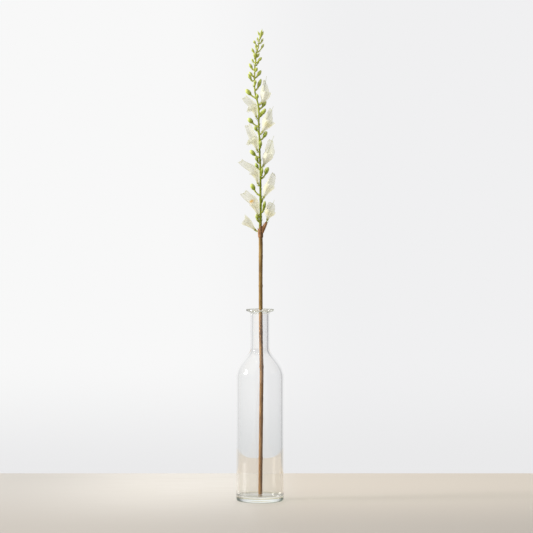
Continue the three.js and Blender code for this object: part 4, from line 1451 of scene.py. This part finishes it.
def table_finish():
    """Pale wood with a fine grain, and painted shade to the front, far to the left, and warmer on the
    right.
    """
    made, tree, shader = new_material("pale_table", 0.55)
    place = object_point(tree)
    grain = noise(tree, object_point(tree, (1.2, 14, 1)), 9, 4, 0.6)
    cloud = noise(tree, place, 2.2, 2)
    depth = vector_calc(tree, "DOT_PRODUCT", place, (0, 1, 0))
    across = vector_calc(tree, "DOT_PRODUCT", place, (1, 0, 0))
    colour = blend(tree, band(tree, grain, 0.3, 0.7), paint(226, 219, 208), paint(231, 225, 215))
    colour = blend(tree, band(tree, cloud, 0.3, 0.7, 0.0, 0.35), colour, paint(220, 213, 202))
    # Painted shade: darker far to the left, darker and warmer on the right, and darker towards the front.
    colour = blend(tree, band(tree, across, -0.45, -0.12, 1.0, 0.0), colour, paint(193, 187, 178))
    colour = blend(tree, band(tree, across, -0.03, 0.08, 0.0, 1.0), colour, paint(217, 206, 190))
    colour = blend(tree, band(tree, depth, -0.36, 0.22, 0.8, 0.0), colour, paint(175, 167, 156))
    tree.links.new(colour, shader.inputs["Base Color"])
    return made


def make_table():
    """A plain pale slab that the vase stands on, ending a little behind it."""
    left, right, front, back, deep = -0.55, 0.62, -2.6, 0.347, -0.03
    outline = [(left, front), (right, front), (right, back), (left, back)]
    corners = [(x, y, z) for z in (deep, 0) for x, y in outline]
    faces = [(3, 2, 1, 0), (4, 5, 6, 7), (0, 1, 5, 4), (1, 2, 6, 5), (2, 3, 7, 6), (3, 0, 4, 7)]
    table = new_object("table", corners, faces)
    table.data.materials.append(table_finish())
    edge = table.modifiers.new("edge", "BEVEL")
    edge.width = 2 * MM
    edge.segments = 3


def turned_to(aim, place):
    """The turn of a lamp or camera at a place that looks at an aim."""
    return (Vector(aim) - Vector(place)).to_track_quat("-Z", "Y").to_euler()


def make_window():
    """One large soft light on the left."""
    data = bpy.data.lights.new("window", "AREA")
    data.shape = "RECTANGLE"
    data.size, data.size_y = 0.5, 0.9
    data.energy = 82
    lamp = bpy.data.objects.new("window", data)
    bpy.context.scene.collection.objects.link(lamp)
    place = (-2.6, -0.35, 1.2)
    lamp.location = place
    lamp.rotation_euler = turned_to((0, 0, 0.4), place)


def make_room():
    """A plain pale room, a little darker low down and at the sides, and most of all on the right."""
    world = bpy.data.worlds.new("studio")
    bpy.context.scene.world = world
    world.use_nodes = True
    world.cycles.sampling_method = "NONE"
    tree = world.node_tree
    way = add(tree, "ShaderNodeTexCoord").outputs["Generated"]
    parts = add(tree, "ShaderNodeSeparateXYZ", {0: way})
    across = parts.outputs[0]
    wall = blend(tree, band(tree, across, -0.05, 0.05), paint(248, 248, 248), paint(240, 240, 241))
    low_down = band(tree, parts.outputs[2], -0.13, -0.06, 1.0, 0.0)
    wall = blend(tree, low_down, wall, paint(233, 233, 234))
    aside = band(tree, calc(tree, "ABSOLUTE", across), 0.25, 0.8)
    wall = blend(tree, aside, wall, paint(212, 212, 212))
    to_the_right = vector_calc(tree, "DOT_PRODUCT", way, (1, -0.15, 0))
    wall = blend(tree, band(tree, to_the_right, 0.1, 1.0), wall, paint(140, 140, 143))
    tree.links.new(wall, tree.nodes["Background"].inputs["Color"])
    tree.nodes["Background"].inputs["Strength"].default_value = 1.0


def make_camera():
    """A long lens, nearly level, a little above the object's middle."""
    data = bpy.data.cameras.new("camera")
    data.lens = 128.3
    data.sensor_width = 36
    data.clip_end = 50
    camera = bpy.data.objects.new("camera", data)
    bpy.context.scene.collection.objects.link(camera)
    tall = CAD_BOX[1].z
    across = 10.15 * MM
    place = (across, -2.968, 0.5515 * tall)
    camera.location = place
    camera.rotation_euler = turned_to((across, 0, 0.496 * tall), place)
    bpy.context.scene.camera = camera


def set_rendering():
    """True colours, and enough bounces for light to find its way through the glass."""
    scene = bpy.context.scene
    scene.view_settings.view_transform = "Standard"
    cycles = scene.cycles
    cycles.use_denoising = True
    cycles.max_bounces = cycles.glossy_bounces = cycles.transmission_bounces = 128
    cycles.transparent_max_bounces = 64
    cycles.caustics_reflective = cycles.caustics_refractive = False


# ---- Everything ----------------------------------------------------------------------------------

make_vase()
make_stem()
make_sheath()
make_growing_tip()
for number in range(1, BUD_COUNT + 1):
    make_bud(f"bud_{number:02d}", number)
for index, flower in enumerate(FLOWERS):
    make_flower(index, flower)
make_table()
make_window()
make_room()
make_camera()
set_rendering()
